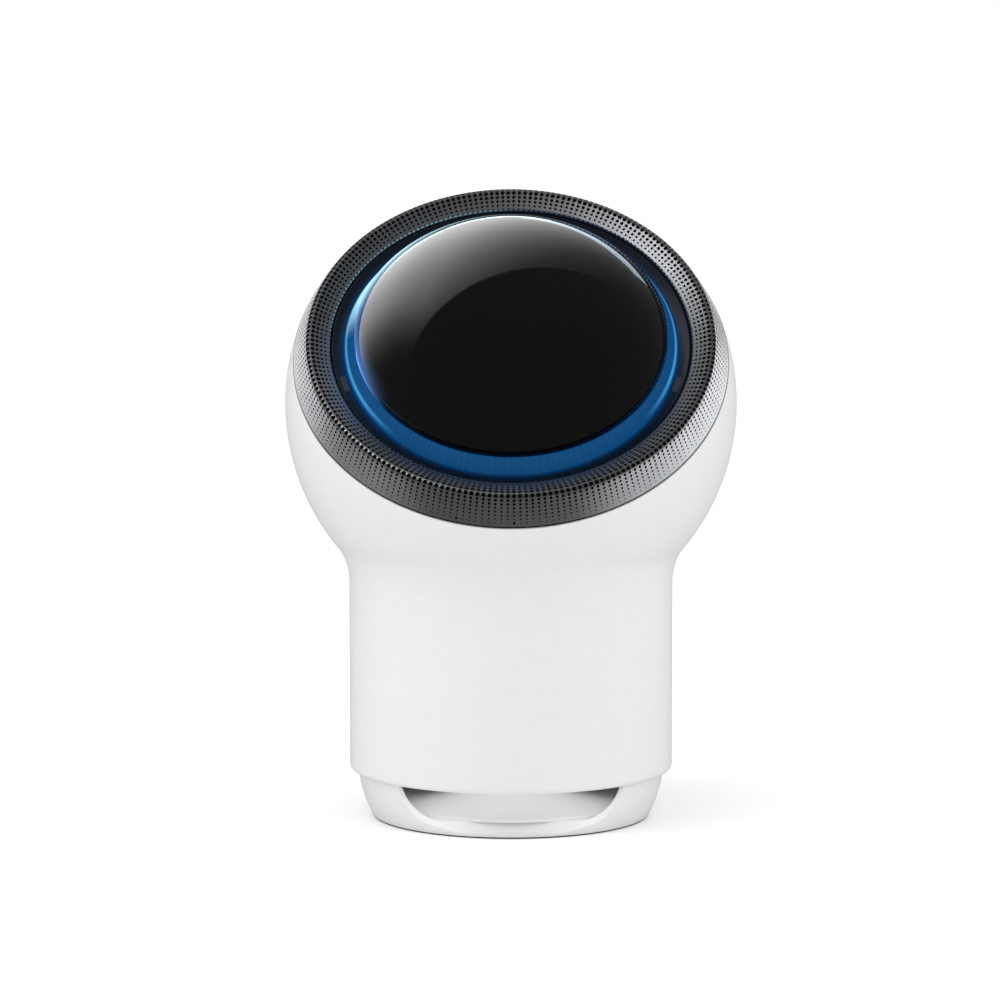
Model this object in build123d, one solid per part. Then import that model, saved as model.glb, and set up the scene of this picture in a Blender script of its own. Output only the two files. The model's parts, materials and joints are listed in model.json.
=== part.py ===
from build123d import *
import math
import os

# Smart speaker: a ball-shaped head on an upright cylinder, with a turning perforated ring,
# a glossy dome that presses in, and a driver that fires down into a foot with a front slot.
# Origin: middle of the flat underside. +Z is up and the front faces -Y. Millimetres.

# ---- driving sizes: white body
head_radius = 61.0
head_centre_height = 112.4
head_tilt = 45.0
body_radius = 43.9
body_bottom = 12.9
body_rim_round = 1.5
shell_wall = 2.0
neck_arc_radius = 16.7
neck_overhang = 2.6
parting_lean = 0.35
parting_offset = 3.9
parting_gap = 0.2
locating_lip_depth = 3.0
locating_lip_wall = 1.0
locating_lip_play = 0.1
locating_lip_root = 2.0
ledge_height = 2.0
weld = 0.5

# ---- driving sizes: foot
pad_thickness = 1.2
pad_bevel = 0.8
foot_fit = 0.4
foot_taper = 3.5
foot_bulge = 0.55
foot_seam = 0.4
foot_inner_taper = 2.7
foot_wall = 2.2
foot_spigot_height = 3.6
foot_floor_top = 3.8
foot_floor_thickness = 1.2
slot_half_width = 29.4
slot_corner_radius = 11.2
slot_sill = 1.0
slot_lip_depth = 7.0
slot_lip_slope = 15.0
foot_rim_width = 5.0
base_plate_fit = 0.1
base_screw_circle = 13.0
base_screw_count = 4
base_screw_length = 3.2
deflector_gap = 1.3
deflector_edge = 0.8
deflector_tip_radius = 4.0
deflector_tip_gap = 3.6
deflector_sag = 2.1

# ---- driving sizes: ring, in the head's own frame: radius from the tilted axis, rise from the ball's middle
seam_rise = 18.2
seam_gap = 0.4
ring_flank_width = 4.1
ring_flank_height = 8.8
ring_inner_width = 6.0
ring_inner_drop = 2.6
ring_crest_flat = 1.2
ring_lip_depth = 2.4
ring_skin = 1.2
perforation_columns = 60
perforation_width = 1.5
perforation_shrink = 0.12
perforation_pitch = 2.05
perforation_start = 2.0
outer_perforation_rows = 3
inner_perforation_rows = 2

# ---- driving sizes: head mechanism
chassis_drop = 8.2
chassis_thickness = 2.6
chassis_edge_gap = 2.95
chassis_screw_inset = 2.6
chassis_screw_count = 4
chassis_rib_count = 6
chassis_rib_height = 3.0
chassis_rib_width = 1.6
ledge_screw_cover = 1.5
hub_wall = 1.7
glide_height = 1.2
glide_width = 2.4
carrier_play = 0.1
carrier_height = 4.6
carrier_wall = 1.5
carrier_floor = 1.6
carrier_skirt_rise = 0.3
carrier_skirt_height = 2.3
carrier_skirt_width = 1.2
carrier_window_width = 1.8
carrier_window_length = 5.0
carrier_window_count = 18
mesh_thickness = 0.3
bearing_clearance = 0.05
running_gap = 0.35
bond_gap = 0.05
bezel_width = 2.95
collar_width = 3.15
collar_stand = 2.5
collar_shoulder_drop = 1.6
collar_top_width = 0.5
collar_foot_gap = 1.6
bezel_edge_drop = 0.3
bezel_catch_gap = 0.3
window_rim = 0.75
window_length = 5.6
window_height = 1.8
window_angle = 17.5
board_thickness = 1.6
board_edge_gap = 0.4
led_size = 2.0
led_height = 1.0
led_count = 16
microphone_width = 2.6
microphone_length = 3.5
microphone_height = 0.9
microphone_count = 6
sensor_width = 3.2
sensor_height = 0.8
code_ring_inset = 2.9
code_ring_width = 2.0
code_ring_thickness = 0.4
code_window_width = 1.2
code_window_count = 24
cable_circle = 14.0
cable_width = 10.0
cable_thickness = 0.3
cable_play = 0.8
cable_bend = 6.0
cable_overlap = 3.0

# ---- driving sizes: dome
dome_clearance = 0.3
dome_bulge = 1.2
dome_crown_height = 28.3
dome_equator_drop = 6.4
dome_wall = 2.0
dome_skirt_depth = 6.5
dome_travel = 0.8
dome_carrier_drop = 0.4
dome_carrier_thickness = 1.8
guide_pin_radius = 1.5
guide_pin_count = 3
guide_turn = 90.0
guide_bush_wall = 1.6
guide_circle = 24.0
stop_gap = 0.4
plunger_radius = 3.0
plunger_play = 0.3
switch_side = 12.0
switch_height = 3.4
switch_well_floor = 1.0

# ---- driving sizes: driver, which faces down
baffle_thickness = 2.6
baffle_fit = 0.2
baffle_boss_radius = 3.0
baffle_boss_inset = 4.3
baffle_boss_height = 10.0
baffle_screw_count = 4
baffle_screw_bite = 7.0
driver_flange_gap = 0.3
driver_flange_width = 5.5
driver_flange_thickness = 1.5
driver_screw_count = 4
gasket_thickness = 0.8
surround_width = 4.2
surround_thickness = 0.6
cone_depth = 8.0
paper_thickness = 0.6
cone_lip_width = 1.0
dust_cap_sag = 3.0
basket_depth = 14.0
basket_wall = 1.2
basket_window_share = 0.55
basket_rim_share = 0.25
basket_window_turn = 30.0
basket_window_count = 6
coil_radius = 10.0
coil_wall = 0.6
coil_clearance = 0.4
coil_overlap = 1.0
spider_width = 5.0
spider_wave_depth = 0.8
spider_thickness = 0.4
spider_waves = 3
magnet_width = 10.0
magnet_thickness = 8.0
plate_inset = 2.0
plate_thickness = 3.0

# ---- driving sizes: electronics in the body
main_board_width = 46.0
main_board_bottom_gap = 0.9
main_board_top_gap = 1.0
main_board_standoff = 9.5
main_board_hole_inset = 3.0
board_post_radius = 2.6
board_screw_length = 6.0
shield_width = 22.0
shield_height = 15.0
shield_depth = 3.0
shield_cable_gap = 1.9
capacitor_radius = 4.0
capacitor_height = 11.0
jack_width = 9.0
jack_height = 11.0
jack_edge_gap = 0.5
jack_fit = 0.1
jack_barrel_radius = 2.9
jack_nose_wall = 1.0
jack_pin_radius = 1.0
jack_barrel_depth = 9.0
jack_cover = 0.6
jack_nose_sink = 0.5
jack_hole_play = 0.3
screw_radius = 1.1
screw_head_radius = 1.9
screw_head_height = 1.3
screw_play = 0.1
screw_turn = 45.0
screw_end_room = 1.0

# ---- worked out: white body
inner_head_radius = head_radius - shell_wall
inner_body_radius = body_radius - shell_wall
neck_corner_radius = body_radius + neck_overhang
neck_corner_rise = -math.sqrt(head_radius**2 - neck_corner_radius**2)
neck_middle_radius = body_radius + neck_arc_radius
neck_middle_rise = neck_corner_rise - math.sqrt(neck_arc_radius**2 - (neck_arc_radius - neck_overhang) ** 2)
everything = 4 * head_radius

# ---- worked out: foot
foot_spigot_top = body_bottom + foot_spigot_height
foot_top_radius = inner_body_radius - foot_fit
foot_bottom_radius = foot_top_radius - foot_taper
base_plate_radius = foot_bottom_radius - foot_rim_width
deflector_radius = foot_bottom_radius - foot_wall - deflector_gap

# ---- worked out: ring
ring_rim_rise = seam_rise + seam_gap
ring_rim_radius = math.sqrt(head_radius**2 - ring_rim_rise**2)
ring_crest_radius = ring_rim_radius - ring_flank_width
ring_crest_rise = ring_rim_rise + ring_flank_height
ring_inner_radius = ring_crest_radius - ring_inner_width
ring_inner_rise = ring_crest_rise - ring_inner_drop

# ---- worked out: collar and dome
collar_outer_radius = ring_inner_radius - running_gap - bezel_width - bond_gap
collar_bore_radius = collar_outer_radius - collar_width
collar_top_rise = ring_inner_rise + collar_stand
collar_shoulder_rise = ring_inner_rise - collar_shoulder_drop
dome_base_radius = collar_bore_radius - dome_clearance
dome_equator_radius = dome_base_radius + dome_bulge
dome_equator_rise = collar_top_rise - dome_equator_drop
dome_skirt_rise = collar_top_rise - dome_skirt_depth
dome_inner_radius = dome_base_radius - dome_wall
dome_carrier_rise = dome_skirt_rise - dome_carrier_drop

# ---- worked out: head mechanism
chassis_rise = ring_rim_rise - chassis_drop
chassis_top = chassis_rise + chassis_thickness
chassis_radius = math.sqrt(inner_head_radius**2 - chassis_top**2) - chassis_edge_gap
chassis_screw_circle = chassis_radius - chassis_screw_inset
chassis_screw_seat = chassis_top - screw_head_height - screw_play
ledge_rise = chassis_rise - ledge_height
ledge_bore_radius = chassis_screw_circle - ledge_screw_cover
hub_outer_radius = collar_outer_radius + bond_gap + hub_wall
carrier_rise = chassis_top + glide_height + carrier_play
carrier_step_rise = carrier_rise + carrier_height
lip_corner_radius = (ring_inner_radius + ring_skin) / math.cos(math.pi / perforation_columns)
carrier_well_inner = lip_corner_radius + bond_gap + carrier_wall
carrier_well_outer = chassis_radius - carrier_skirt_width
carrier_window_circle = (carrier_well_inner + carrier_well_outer) / 2
head_board_top = chassis_top + board_thickness

# ---- worked out: driver and electronics
baffle_bottom = foot_spigot_top
baffle_top = baffle_bottom + baffle_thickness
baffle_boss_circle = inner_body_radius - baffle_boss_inset
driver_seat = baffle_top + gasket_thickness
driver_flange_radius = baffle_boss_circle - baffle_boss_radius - driver_flange_gap
driver_opening_radius = driver_flange_radius - driver_flange_width
cone_outer_radius = driver_opening_radius - surround_width
basket_top = driver_seat + basket_depth
coil_outer_radius = coil_radius + coil_wall
magnet_radius = coil_radius + magnet_width
board_plane = inner_body_radius - main_board_standoff
main_board_bottom = baffle_top + baffle_boss_height + main_board_bottom_gap
main_board_height = head_centre_height + neck_middle_rise - main_board_top_gap - main_board_bottom
jack_axis_height = main_board_bottom + jack_edge_gap + jack_height / 2
jack_back = body_radius - jack_cover


# ---- helpers
def turned(points):
    """A solid of revolution about Z from a closed outline of (radius, height) points."""
    return turned_face(make_face(Polyline(*points, close=True)))


def turned_face(face):
    """A solid of revolution about Z from a face drawn as (radius, height)."""
    return revolve(Plane.XZ * face, Axis.Z)


def disc(radius, bottom, top, bore=0.0):
    """A flat round plate, with an optional hole through its middle."""
    plate = Pos(0, 0, bottom) * extrude(Circle(radius), top - bottom)
    if bore:
        plate -= Pos(0, 0, bottom) * extrude(Circle(bore), top - bottom)
    return plate


def around(shape, radius, count, start=0.0):
    """Copies of a shape evenly spaced round the Z axis, each turned with its place."""
    return [place * shape for place in PolarLocations(radius, count, start)]


def in_head(shape):
    """Moves a shape from the head's own frame, whose Z is the ring's axis, to its place."""
    return Location((0, 0, head_centre_height), (head_tilt, 0, 0)) * shape


def screw(length, upwards=1):
    """A pan-head screw on Z, with the underside of its head at the origin."""
    head = disc(screw_head_radius, -screw_head_height, 0)
    shank = disc(screw_radius, 0, length)
    whole = head + shank
    return whole if upwards > 0 else Rot(180, 0, 0) * whole


def as_list(shape):
    """A shape, or several, as a list."""
    return list(shape) if isinstance(shape, (list, ShapeList)) else [shape]


def save(name, shapes):
    """Writes one node; several solids become one compound."""
    solids = [solid for shape in shapes for solid in shape.solids()]
    whole = solids[0] if len(solids) == 1 else Compound(children=solids)
    export_step(whole, f"parts/{name}.step")


# ---- white housings
def neck_corner(inset):
    """Where the neck's arc meets the ball, for walls moved inwards by inset."""
    ball = head_radius - inset
    reach = math.hypot(neck_middle_radius, neck_middle_rise)
    along = (ball**2 - (neck_arc_radius + inset) ** 2 + reach**2) / (2 * reach)
    across = math.sqrt(ball**2 - along**2)
    return (
        (along * neck_middle_radius + across * neck_middle_rise) / reach,
        (along * neck_middle_rise - across * neck_middle_radius) / reach,
    )


def body_profile(inset):
    """Half outline of the ball and cylinder, moved inwards by inset for the inside."""
    ball = head_radius - inset
    cylinder = body_radius - inset
    arc_radius = neck_arc_radius + inset
    corner_radius, corner_rise = neck_corner(inset)
    arc_turn = math.atan2(corner_rise - neck_middle_rise, neck_middle_radius - corner_radius) / 2
    ball_turn = math.atan2(-corner_rise, corner_radius) / 2
    lift = head_centre_height
    diagonal = math.sqrt(0.5) * ball
    top = (0, lift + ball)
    side = (ball, lift)
    corner = (corner_radius, lift + corner_rise)
    neck_end = (cylinder, lift + neck_middle_rise)
    bottom = body_bottom - inset
    upper = ThreePointArc(top, (diagonal, lift + diagonal), side)
    lower_middle = (ball * math.cos(ball_turn), lift - ball * math.sin(ball_turn))
    lower = ThreePointArc(side, lower_middle, corner)
    neck_middle = (
        neck_middle_radius - arc_radius * math.cos(arc_turn),
        lift + neck_middle_rise + arc_radius * math.sin(arc_turn),
    )
    neck = ThreePointArc(corner, neck_middle, neck_end)
    rest = Polyline(neck_end, (cylinder, bottom), (0, bottom), top)
    return make_face(Curve() + [upper, lower, neck, rest])


def body_shell():
    """The hollow ball and cylinder in one, open at the ring and underneath."""
    outside = turned_face(body_profile(0.0))
    rim = outside.edges().filter_by(GeomType.CIRCLE).sort_by(Axis.Z)[0]
    outside = fillet(rim, body_rim_round)
    inside = turned_face(body_profile(shell_wall))
    shell = outside - inside
    return shell - in_head(disc(everything, seam_rise, everything))


def body_inside(reach=0.0):
    """The room inside the body, reaching into its walls so that what is added there joins them."""
    return turned_face(body_profile(shell_wall - reach))


def head_ledge():
    """The shelf round the inside of the head that the chassis is screwed to."""
    reach = math.sqrt(inner_head_radius**2 - ledge_rise**2)
    shelf = disc(reach + weld, ledge_rise, chassis_rise, ledge_bore_radius)
    ball = Sphere(inner_head_radius)
    return in_head(shelf & ball)


def behind_parting(offset):
    """The space behind the leaning plane where the head's rear cover starts."""
    lean = math.degrees(math.atan(parting_lean))
    block = Pos(0, everything / 2, 0) * Box(everything, everything, 2 * everything)
    placed = Pos(0, parting_offset + offset, head_centre_height) * Rot(-lean, 0, 0) * block
    above = Pos(0, 0, head_centre_height + neck_corner_rise + offset + everything / 2)
    return placed & above * Box(everything, everything, everything)


def chassis_screw_axes():
    """Places of the screws that hold the chassis to the head's shelf."""
    return PolarLocations(chassis_screw_circle, chassis_screw_count, screw_turn)


def front_housing():
    """The main white moulding: cylinder, neck and the front of the ball."""
    shell = body_shell() + head_ledge()
    shell -= behind_parting(0.0)
    room = body_inside(weld)
    boss_top = baffle_top + baffle_boss_height
    web_length = baffle_boss_inset + weld
    web = Pos(web_length / 2, 0, (baffle_top + boss_top) / 2) * Box(
        web_length, baffle_boss_radius, baffle_boss_height
    )
    boss = disc(baffle_boss_radius, baffle_top, boss_top) + web
    for part in around(boss, baffle_boss_circle, baffle_screw_count, screw_turn):
        shell += part & room
    for place in PolarLocations(baffle_boss_circle, baffle_screw_count, screw_turn):
        shell -= place * disc(screw_radius, baffle_top, baffle_top + baffle_screw_bite + screw_end_room)
    for x, z in board_holes():
        axis = Pos(x, board_plane, z) * Rot(-90, 0, 0)
        post = axis * extrude(Circle(board_post_radius), head_radius)
        shell += post & room
        shell -= axis * extrude(Circle(screw_radius), board_screw_length)
    for place in chassis_screw_axes():
        shell -= in_head(place * disc(screw_radius, ledge_rise - screw_end_room, chassis_rise + screw_end_room))
    jack_room = Box(jack_width + 2 * jack_fit, body_radius, jack_height + 2 * jack_fit)
    shell -= Pos(0, jack_back - body_radius / 2 + jack_fit / 2, jack_axis_height) * jack_room
    hole_radius = jack_barrel_radius + jack_nose_wall + jack_hole_play
    shell -= Pos(0, body_radius, jack_axis_height) * Rot(90, 0, 0) * Cylinder(hole_radius, 2 * shell_wall)
    return shell


def inner_band(outer, thickness, start, end):
    """A band along the ball's inside wall between two planes beside the parting."""
    band = Sphere(outer) - Sphere(outer - thickness)
    band = Pos(0, 0, head_centre_height) * band
    band = (band & behind_parting(start)) - behind_parting(end)
    band -= in_head(disc(everything, ledge_rise - running_gap, everything))
    floor = head_centre_height + neck_corner(shell_wall)[1] + weld
    return band - Pos(0, 0, floor - everything / 2) * Box(everything, everything, everything)


def rear_housing():
    """The white cover that closes the back of the ball, with its locating lip."""
    cover = (body_shell() + head_ledge()) & behind_parting(parting_gap)
    root = parting_gap + locating_lip_root
    for place in chassis_screw_axes():
        cover -= in_head(place * disc(screw_radius, ledge_rise - screw_end_room, chassis_rise + screw_end_room))
    lip = inner_band(inner_head_radius - locating_lip_play, locating_lip_wall, -locating_lip_depth, root)
    bridge = inner_band(inner_head_radius, 4 * locating_lip_play, 2 * parting_gap, root)
    return cover + (lip + bridge)


def board_holes():
    """Middles of the main board's four fixing holes, as (x, z)."""
    half = main_board_width / 2 - main_board_hole_inset
    low = main_board_bottom + main_board_hole_inset
    high = main_board_bottom + main_board_height - main_board_hole_inset
    return [(-half, low), (half, low), (-half, high), (half, high)]


# ---- foot
def foot_side():
    """The bulging side of the foot in half section, from the pad up to the body."""
    low = Vector(foot_bottom_radius, pad_thickness)
    high = Vector(foot_top_radius, body_bottom - foot_seam)
    run = (high - low).normalized()
    middle = (low + high) / 2 + Vector(run.Y, -run.X) * foot_bulge
    return ThreePointArc(low, middle, high)


def slot_face():
    """The slot as it is seen from the front: flat below, with wide round corners."""
    middle = foot_floor_top + slot_corner_radius
    opening = Pos(0, middle) * Rectangle(2 * slot_half_width, 2 * slot_corner_radius)
    opening = fillet(opening.vertices().group_by(Axis.Y)[0], slot_corner_radius)
    top = body_bottom + slot_sill
    return opening & Pos(0, top - everything / 2) * Rectangle(everything, everything)


def foot_shell():
    """The foot: a bulging wall with a floor, a spigot that enters the body, and the front slot."""
    recess = base_plate_radius + base_plate_fit
    under_floor = foot_floor_top - foot_floor_thickness
    rest = Polyline(
        (foot_top_radius, body_bottom - foot_seam),
        (foot_top_radius, foot_spigot_top),
        (foot_top_radius - foot_wall, foot_spigot_top),
        (foot_top_radius - foot_wall, body_bottom - foot_seam),
        (foot_top_radius - foot_wall - foot_inner_taper, foot_floor_top),
        (0, foot_floor_top),
        (0, under_floor),
        (recess, under_floor),
        (recess, pad_thickness),
        (foot_bottom_radius, pad_thickness),
    )
    foot = turned_face(make_face(Curve() + [foot_side(), rest]))
    opening = slot_face()
    foot -= extrude(Plane.XZ * opening, everything)
    lip_start = foot_bottom_radius - slot_lip_depth
    foot -= extrude(Plane.XZ.offset(lip_start) * opening, 2 * slot_lip_depth, taper=-slot_lip_slope)
    for place in PolarLocations(base_screw_circle, base_screw_count, screw_turn):
        foot -= place * disc(screw_radius + screw_play, pad_thickness, foot_floor_top)
    return foot


def base_plate():
    """The steel weight let into the underside of the foot."""
    plate = disc(base_plate_radius, pad_thickness, foot_floor_top - foot_floor_thickness)
    for place in PolarLocations(base_screw_circle, base_screw_count, screw_turn):
        plate -= place * disc(screw_head_radius + screw_play, pad_thickness, foot_floor_top)
    return plate


def rubber_pad():
    """The full-width rubber pad that the speaker stands on."""
    return turned([
        (0, 0),
        (foot_bottom_radius - pad_bevel, 0),
        (foot_bottom_radius, pad_thickness),
        (0, pad_thickness),
    ])


def base_screws():
    """Screws from below through the plate and the foot's floor into the deflector."""
    place = Pos(0, 0, foot_floor_top - foot_floor_thickness) * screw(base_screw_length)
    return around(place, base_screw_circle, base_screw_count, screw_turn)


def acoustic_deflector():
    """The hollow-sided cone on the foot's floor that turns the sound outwards."""
    edge = Vector(deflector_radius, foot_floor_top + deflector_edge)
    tip = Vector(deflector_tip_radius, baffle_bottom - deflector_tip_gap)
    run = (edge - tip).normalized()
    flare = ThreePointArc(edge, (edge + tip) / 2 + Vector(run.Y, -run.X) * deflector_sag, tip)
    rest = Polyline(
        (tip.X, tip.Y),
        (0, tip.Y + deflector_edge),
        (0, foot_floor_top),
        (deflector_radius, foot_floor_top),
        (edge.X, edge.Y),
    )
    cone = turned_face(make_face(Curve() + [flare, rest]))
    depth = foot_floor_top - foot_floor_thickness + base_screw_length
    for place in PolarLocations(base_screw_circle, base_screw_count, screw_turn):
        cone -= place * disc(screw_radius + screw_play, foot_floor_top, depth + screw_play)
    return cone


# ---- baffle and driver
def baffle():
    """The plate across the body that the driver hangs from, resting on the foot's spigot."""
    plate = disc(inner_body_radius - baffle_fit, baffle_bottom, baffle_top, driver_opening_radius)
    sink = baffle_bottom + screw_head_height
    for place in PolarLocations(baffle_boss_circle, baffle_screw_count, screw_turn):
        plate -= place * disc(screw_radius + screw_play, baffle_bottom, baffle_top)
        plate -= place * disc(screw_head_radius + screw_play, baffle_bottom, sink)
    for place in driver_screw_places():
        plate -= place * disc(screw_radius, baffle_bottom, baffle_top)
    return plate


def baffle_screws():
    """Screws from below through the baffle into the bosses of the body."""
    length = baffle_thickness - screw_head_height + baffle_screw_bite
    one = Pos(0, 0, baffle_bottom + screw_head_height) * screw(length)
    return around(one, baffle_boss_circle, baffle_screw_count, screw_turn)


def driver_screw_places():
    """Places of the screws in the driver's flange."""
    circle = driver_flange_radius - screw_head_radius - screw_play
    return PolarLocations(circle, driver_screw_count, 0)


def driver_gasket():
    """The foam ring between the driver's flange and the baffle."""
    ring = disc(driver_flange_radius, baffle_top, driver_seat, driver_opening_radius)
    for place in driver_screw_places():
        ring -= place * disc(screw_radius + screw_play, baffle_top, driver_seat)
    return ring


def driver_frame():
    """The driver's pressed basket: flange, sloping wall with windows, and the seat of the motor."""
    flange_top = driver_seat + driver_flange_thickness
    wall_foot = driver_opening_radius + bond_gap
    seat_inner = coil_outer_radius + spider_width - basket_wall / 2
    frame = turned([
        (driver_opening_radius, driver_seat),
        (driver_flange_radius, driver_seat),
        (driver_flange_radius, flange_top),
        (wall_foot + basket_wall, flange_top),
        (magnet_radius, basket_top - basket_wall),
        (magnet_radius, basket_top),
        (seat_inner, basket_top),
        (seat_inner, basket_top - basket_wall),
        (magnet_radius - basket_wall, basket_top - basket_wall),
        (driver_opening_radius, flange_top),
    ])
    wall_middle = (driver_opening_radius + magnet_radius) / 2
    window_width = basket_window_share * 2 * math.pi * wall_middle / basket_window_count
    window_top = basket_top - basket_rim_share * basket_depth
    window_low = flange_top + basket_rim_share * basket_depth
    across = 2 * (driver_opening_radius - magnet_radius)
    window = Pos(0, 0, (window_top + window_low) / 2) * Box(across, window_width, window_top - window_low)
    for part in around(window, wall_middle, basket_window_count, basket_window_turn):
        frame -= part
    for place in driver_screw_places():
        frame -= place * disc(screw_radius + screw_play, driver_seat, flange_top)
    return frame


def driver_screws():
    """Screws from above through the driver's flange into the baffle."""
    one = Pos(0, 0, driver_seat + driver_flange_thickness) * screw(baffle_thickness, -1)
    return [place * one for place in driver_screw_places()]


def motor_plate():
    """The front pole plate, a ring round the voice coil."""
    bore = coil_outer_radius + coil_clearance
    return disc(magnet_radius - plate_inset, basket_top, basket_top + plate_thickness, bore)


def magnet():
    """The ring magnet."""
    bottom = basket_top + plate_thickness
    return disc(magnet_radius, bottom, bottom + magnet_thickness, coil_outer_radius + plate_inset)


def yoke():
    """The back plate with its pole inside the voice coil."""
    top = basket_top + plate_thickness + magnet_thickness
    back = disc(magnet_radius - plate_inset, top, top + plate_thickness)
    pole = disc(coil_radius - coil_clearance, basket_top, top)
    return back + pole


def cone_foot():
    """Height of the cone's wide edge."""
    return driver_seat + paper_thickness


def cone_rise():
    """Height of the cone's small end, where it meets the coil."""
    return cone_foot() + cone_depth


def voice_coil():
    """The former and winding that carry the cone."""
    top = basket_top + plate_thickness / 2
    return disc(coil_outer_radius, cone_rise() - coil_overlap, top, coil_radius)


def speaker_cone():
    """The paper cone, wide end down."""
    low = cone_foot()
    high = cone_rise()
    return turned([
        (cone_outer_radius, low),
        (cone_outer_radius, low + paper_thickness),
        (cone_outer_radius - cone_lip_width, low + paper_thickness),
        (coil_outer_radius, high + paper_thickness),
        (coil_outer_radius, high - paper_thickness),
        (cone_outer_radius - cone_lip_width - paper_thickness, low),
    ])


def dust_cap():
    """The shallow cap over the coil, seen from below."""
    edge = cone_rise() - coil_overlap
    ball = (coil_outer_radius**2 + dust_cap_sag**2) / (2 * dust_cap_sag)
    middle = Pos(0, 0, edge - dust_cap_sag + ball)
    cap = middle * Sphere(ball) - middle * Sphere(ball - paper_thickness)
    return cap & disc(coil_outer_radius, edge - 2 * dust_cap_sag, edge)


def surround():
    """The rubber half roll between the cone and the frame."""
    inner = cone_outer_radius + bond_gap
    outer = driver_opening_radius - bond_gap
    low = cone_foot()
    high = low + surround_thickness
    middle = (inner + outer) / 2
    roll = (outer - inner) / 2
    top = ThreePointArc((inner, high), (middle, high - roll), (outer, high))
    under = ThreePointArc((inner, low), (middle, low - roll), (outer, low))
    joins = [Line((inner, low), (inner, high)), Line((outer, low), (outer, high))]
    return turned_face(make_face(Curve() + [top, under] + joins))


def spider():
    """The corrugated cloth ring that centres the coil."""
    inner = coil_outer_radius + bond_gap
    base = basket_top - basket_wall - 2 * bond_gap - spider_thickness
    step = (spider_width + basket_wall / 2) / (2 * spider_waves)
    lower = []
    for fold in range(2 * spider_waves + 1):
        dip = spider_wave_depth if fold % 2 else 0.0
        lower.append((inner + fold * step, base - dip))
    upper = [(radius, height + spider_thickness) for radius, height in reversed(lower)]
    return turned(lower + upper)


# ---- electronics in the body
def board_middle():
    """Height of the main board's middle."""
    return main_board_bottom + main_board_height / 2


def main_board():
    """The upright board at the back of the body."""
    board = Pos(0, board_plane - board_thickness / 2, board_middle()) * Box(
        main_board_width, board_thickness, main_board_height
    )
    for x, z in board_holes():
        hole = Cylinder(screw_radius + screw_play, 4 * board_thickness)
        board -= Pos(x, board_plane, z) * Rot(90, 0, 0) * hole
    return board


def shield_can():
    """The pressed can over the radio and processor, below the flat cable."""
    top = main_board_bottom + main_board_height - cable_overlap - shield_cable_gap
    front = board_plane - board_thickness
    return Pos(0, front - shield_depth / 2, top - shield_height / 2) * Box(
        shield_width, shield_depth, shield_height
    )


def capacitors():
    """The two upright capacitors of the amplifier, one each side of the can."""
    front = board_plane - board_thickness
    x = shield_width / 2 + capacitor_radius + 2 * screw_radius
    one = Rot(90, 0, 0) * extrude(Circle(capacitor_radius), capacitor_height)
    return [Pos(side * x, front, board_middle()) * one for side in (-1, 1)]


def board_screws():
    """Screws that hold the main board to its posts."""
    one = Rot(-90, 0, 0) * screw(board_screw_length)
    return [Pos(x, board_plane - board_thickness, z) * one for x, z in board_holes()]


def jack_mouth():
    """The place of the inlet's mouth, looking inwards along its bore."""
    return Pos(0, body_radius - jack_nose_sink, jack_axis_height) * Rot(90, 0, 0)


def dc_jack():
    """The power inlet on the board's outer face, open through the back of the body."""
    length = jack_back - board_plane
    block = Pos(0, board_plane + length / 2, jack_axis_height) * Box(jack_width, length, jack_height)
    nose = body_radius - jack_nose_sink - jack_back
    block += jack_mouth() * extrude(Circle(jack_barrel_radius + jack_nose_wall), nose)
    return block - jack_mouth() * extrude(Circle(jack_barrel_radius), jack_barrel_depth)


def jack_pin():
    """The inlet's middle contact."""
    reach = jack_barrel_depth - jack_nose_wall
    return jack_mouth() * Pos(0, 0, jack_nose_wall) * extrude(Circle(jack_pin_radius), reach)


# ---- head mechanism, drawn in the head's own frame
def head_chassis():
    """The fixed disc across the head, with ribs below and the hub that the ring turns on."""
    bore = collar_outer_radius + bond_gap
    chassis = turned([
        (0, chassis_rise),
        (chassis_radius, chassis_rise),
        (chassis_radius, chassis_top),
        (hub_outer_radius, chassis_top),
        (hub_outer_radius, carrier_step_rise),
        (bore, carrier_step_rise),
        (bore, chassis_top),
        (0, chassis_top),
    ])
    rib_length = (ledge_bore_radius - screw_play) - guide_circle / 2
    rib = Pos(0, 0, chassis_rise - chassis_rib_height / 2) * Box(
        rib_length, chassis_rib_width, chassis_rib_height
    )
    rib_room = disc(ledge_bore_radius - screw_play, chassis_rise - chassis_rib_height, chassis_rise)
    for part in around(rib, guide_circle / 2 + rib_length / 2, chassis_rib_count):
        chassis += part & rib_room
    for place in chassis_screw_axes():
        chassis -= place * disc(screw_radius + screw_play, chassis_rise, chassis_top)
        chassis -= place * disc(screw_head_radius + screw_play, chassis_screw_seat, chassis_top)
    return chassis - Pos(0, cable_circle, chassis_rise) * Box(
        cable_width + 2 * cable_play, cable_thickness + 2 * cable_play, 4 * chassis_thickness
    )


def flat_cable():
    """The flat cable from the main board up to the underside of the round board, inside the body."""
    lean = math.radians(head_tilt)
    axis = Vector(-math.sin(lean), math.cos(lean))
    hinge = Vector(0, head_centre_height) + Vector(axis.Y, -axis.X) * cable_circle
    start = board_plane - board_thickness - bond_gap - cable_thickness / 2
    route = [
        Vector(start, main_board_bottom + main_board_height - cable_overlap),
        Vector(start, head_centre_height - cable_circle),
        hinge + axis * (chassis_rise - 2 * cable_bend),
        hinge + axis * (chassis_top - bond_gap),
    ]
    strip = trace(FilletPolyline(*route, radius=cable_bend), cable_thickness)
    return Plane.YZ * extrude(strip, cable_width / 2, both=True)


def chassis_screws():
    """Screws from above through the chassis into the head's shelf."""
    one = Pos(0, 0, chassis_screw_seat) * screw(chassis_screw_seat - ledge_rise, -1)
    return [place * one for place in chassis_screw_axes()]


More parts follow.
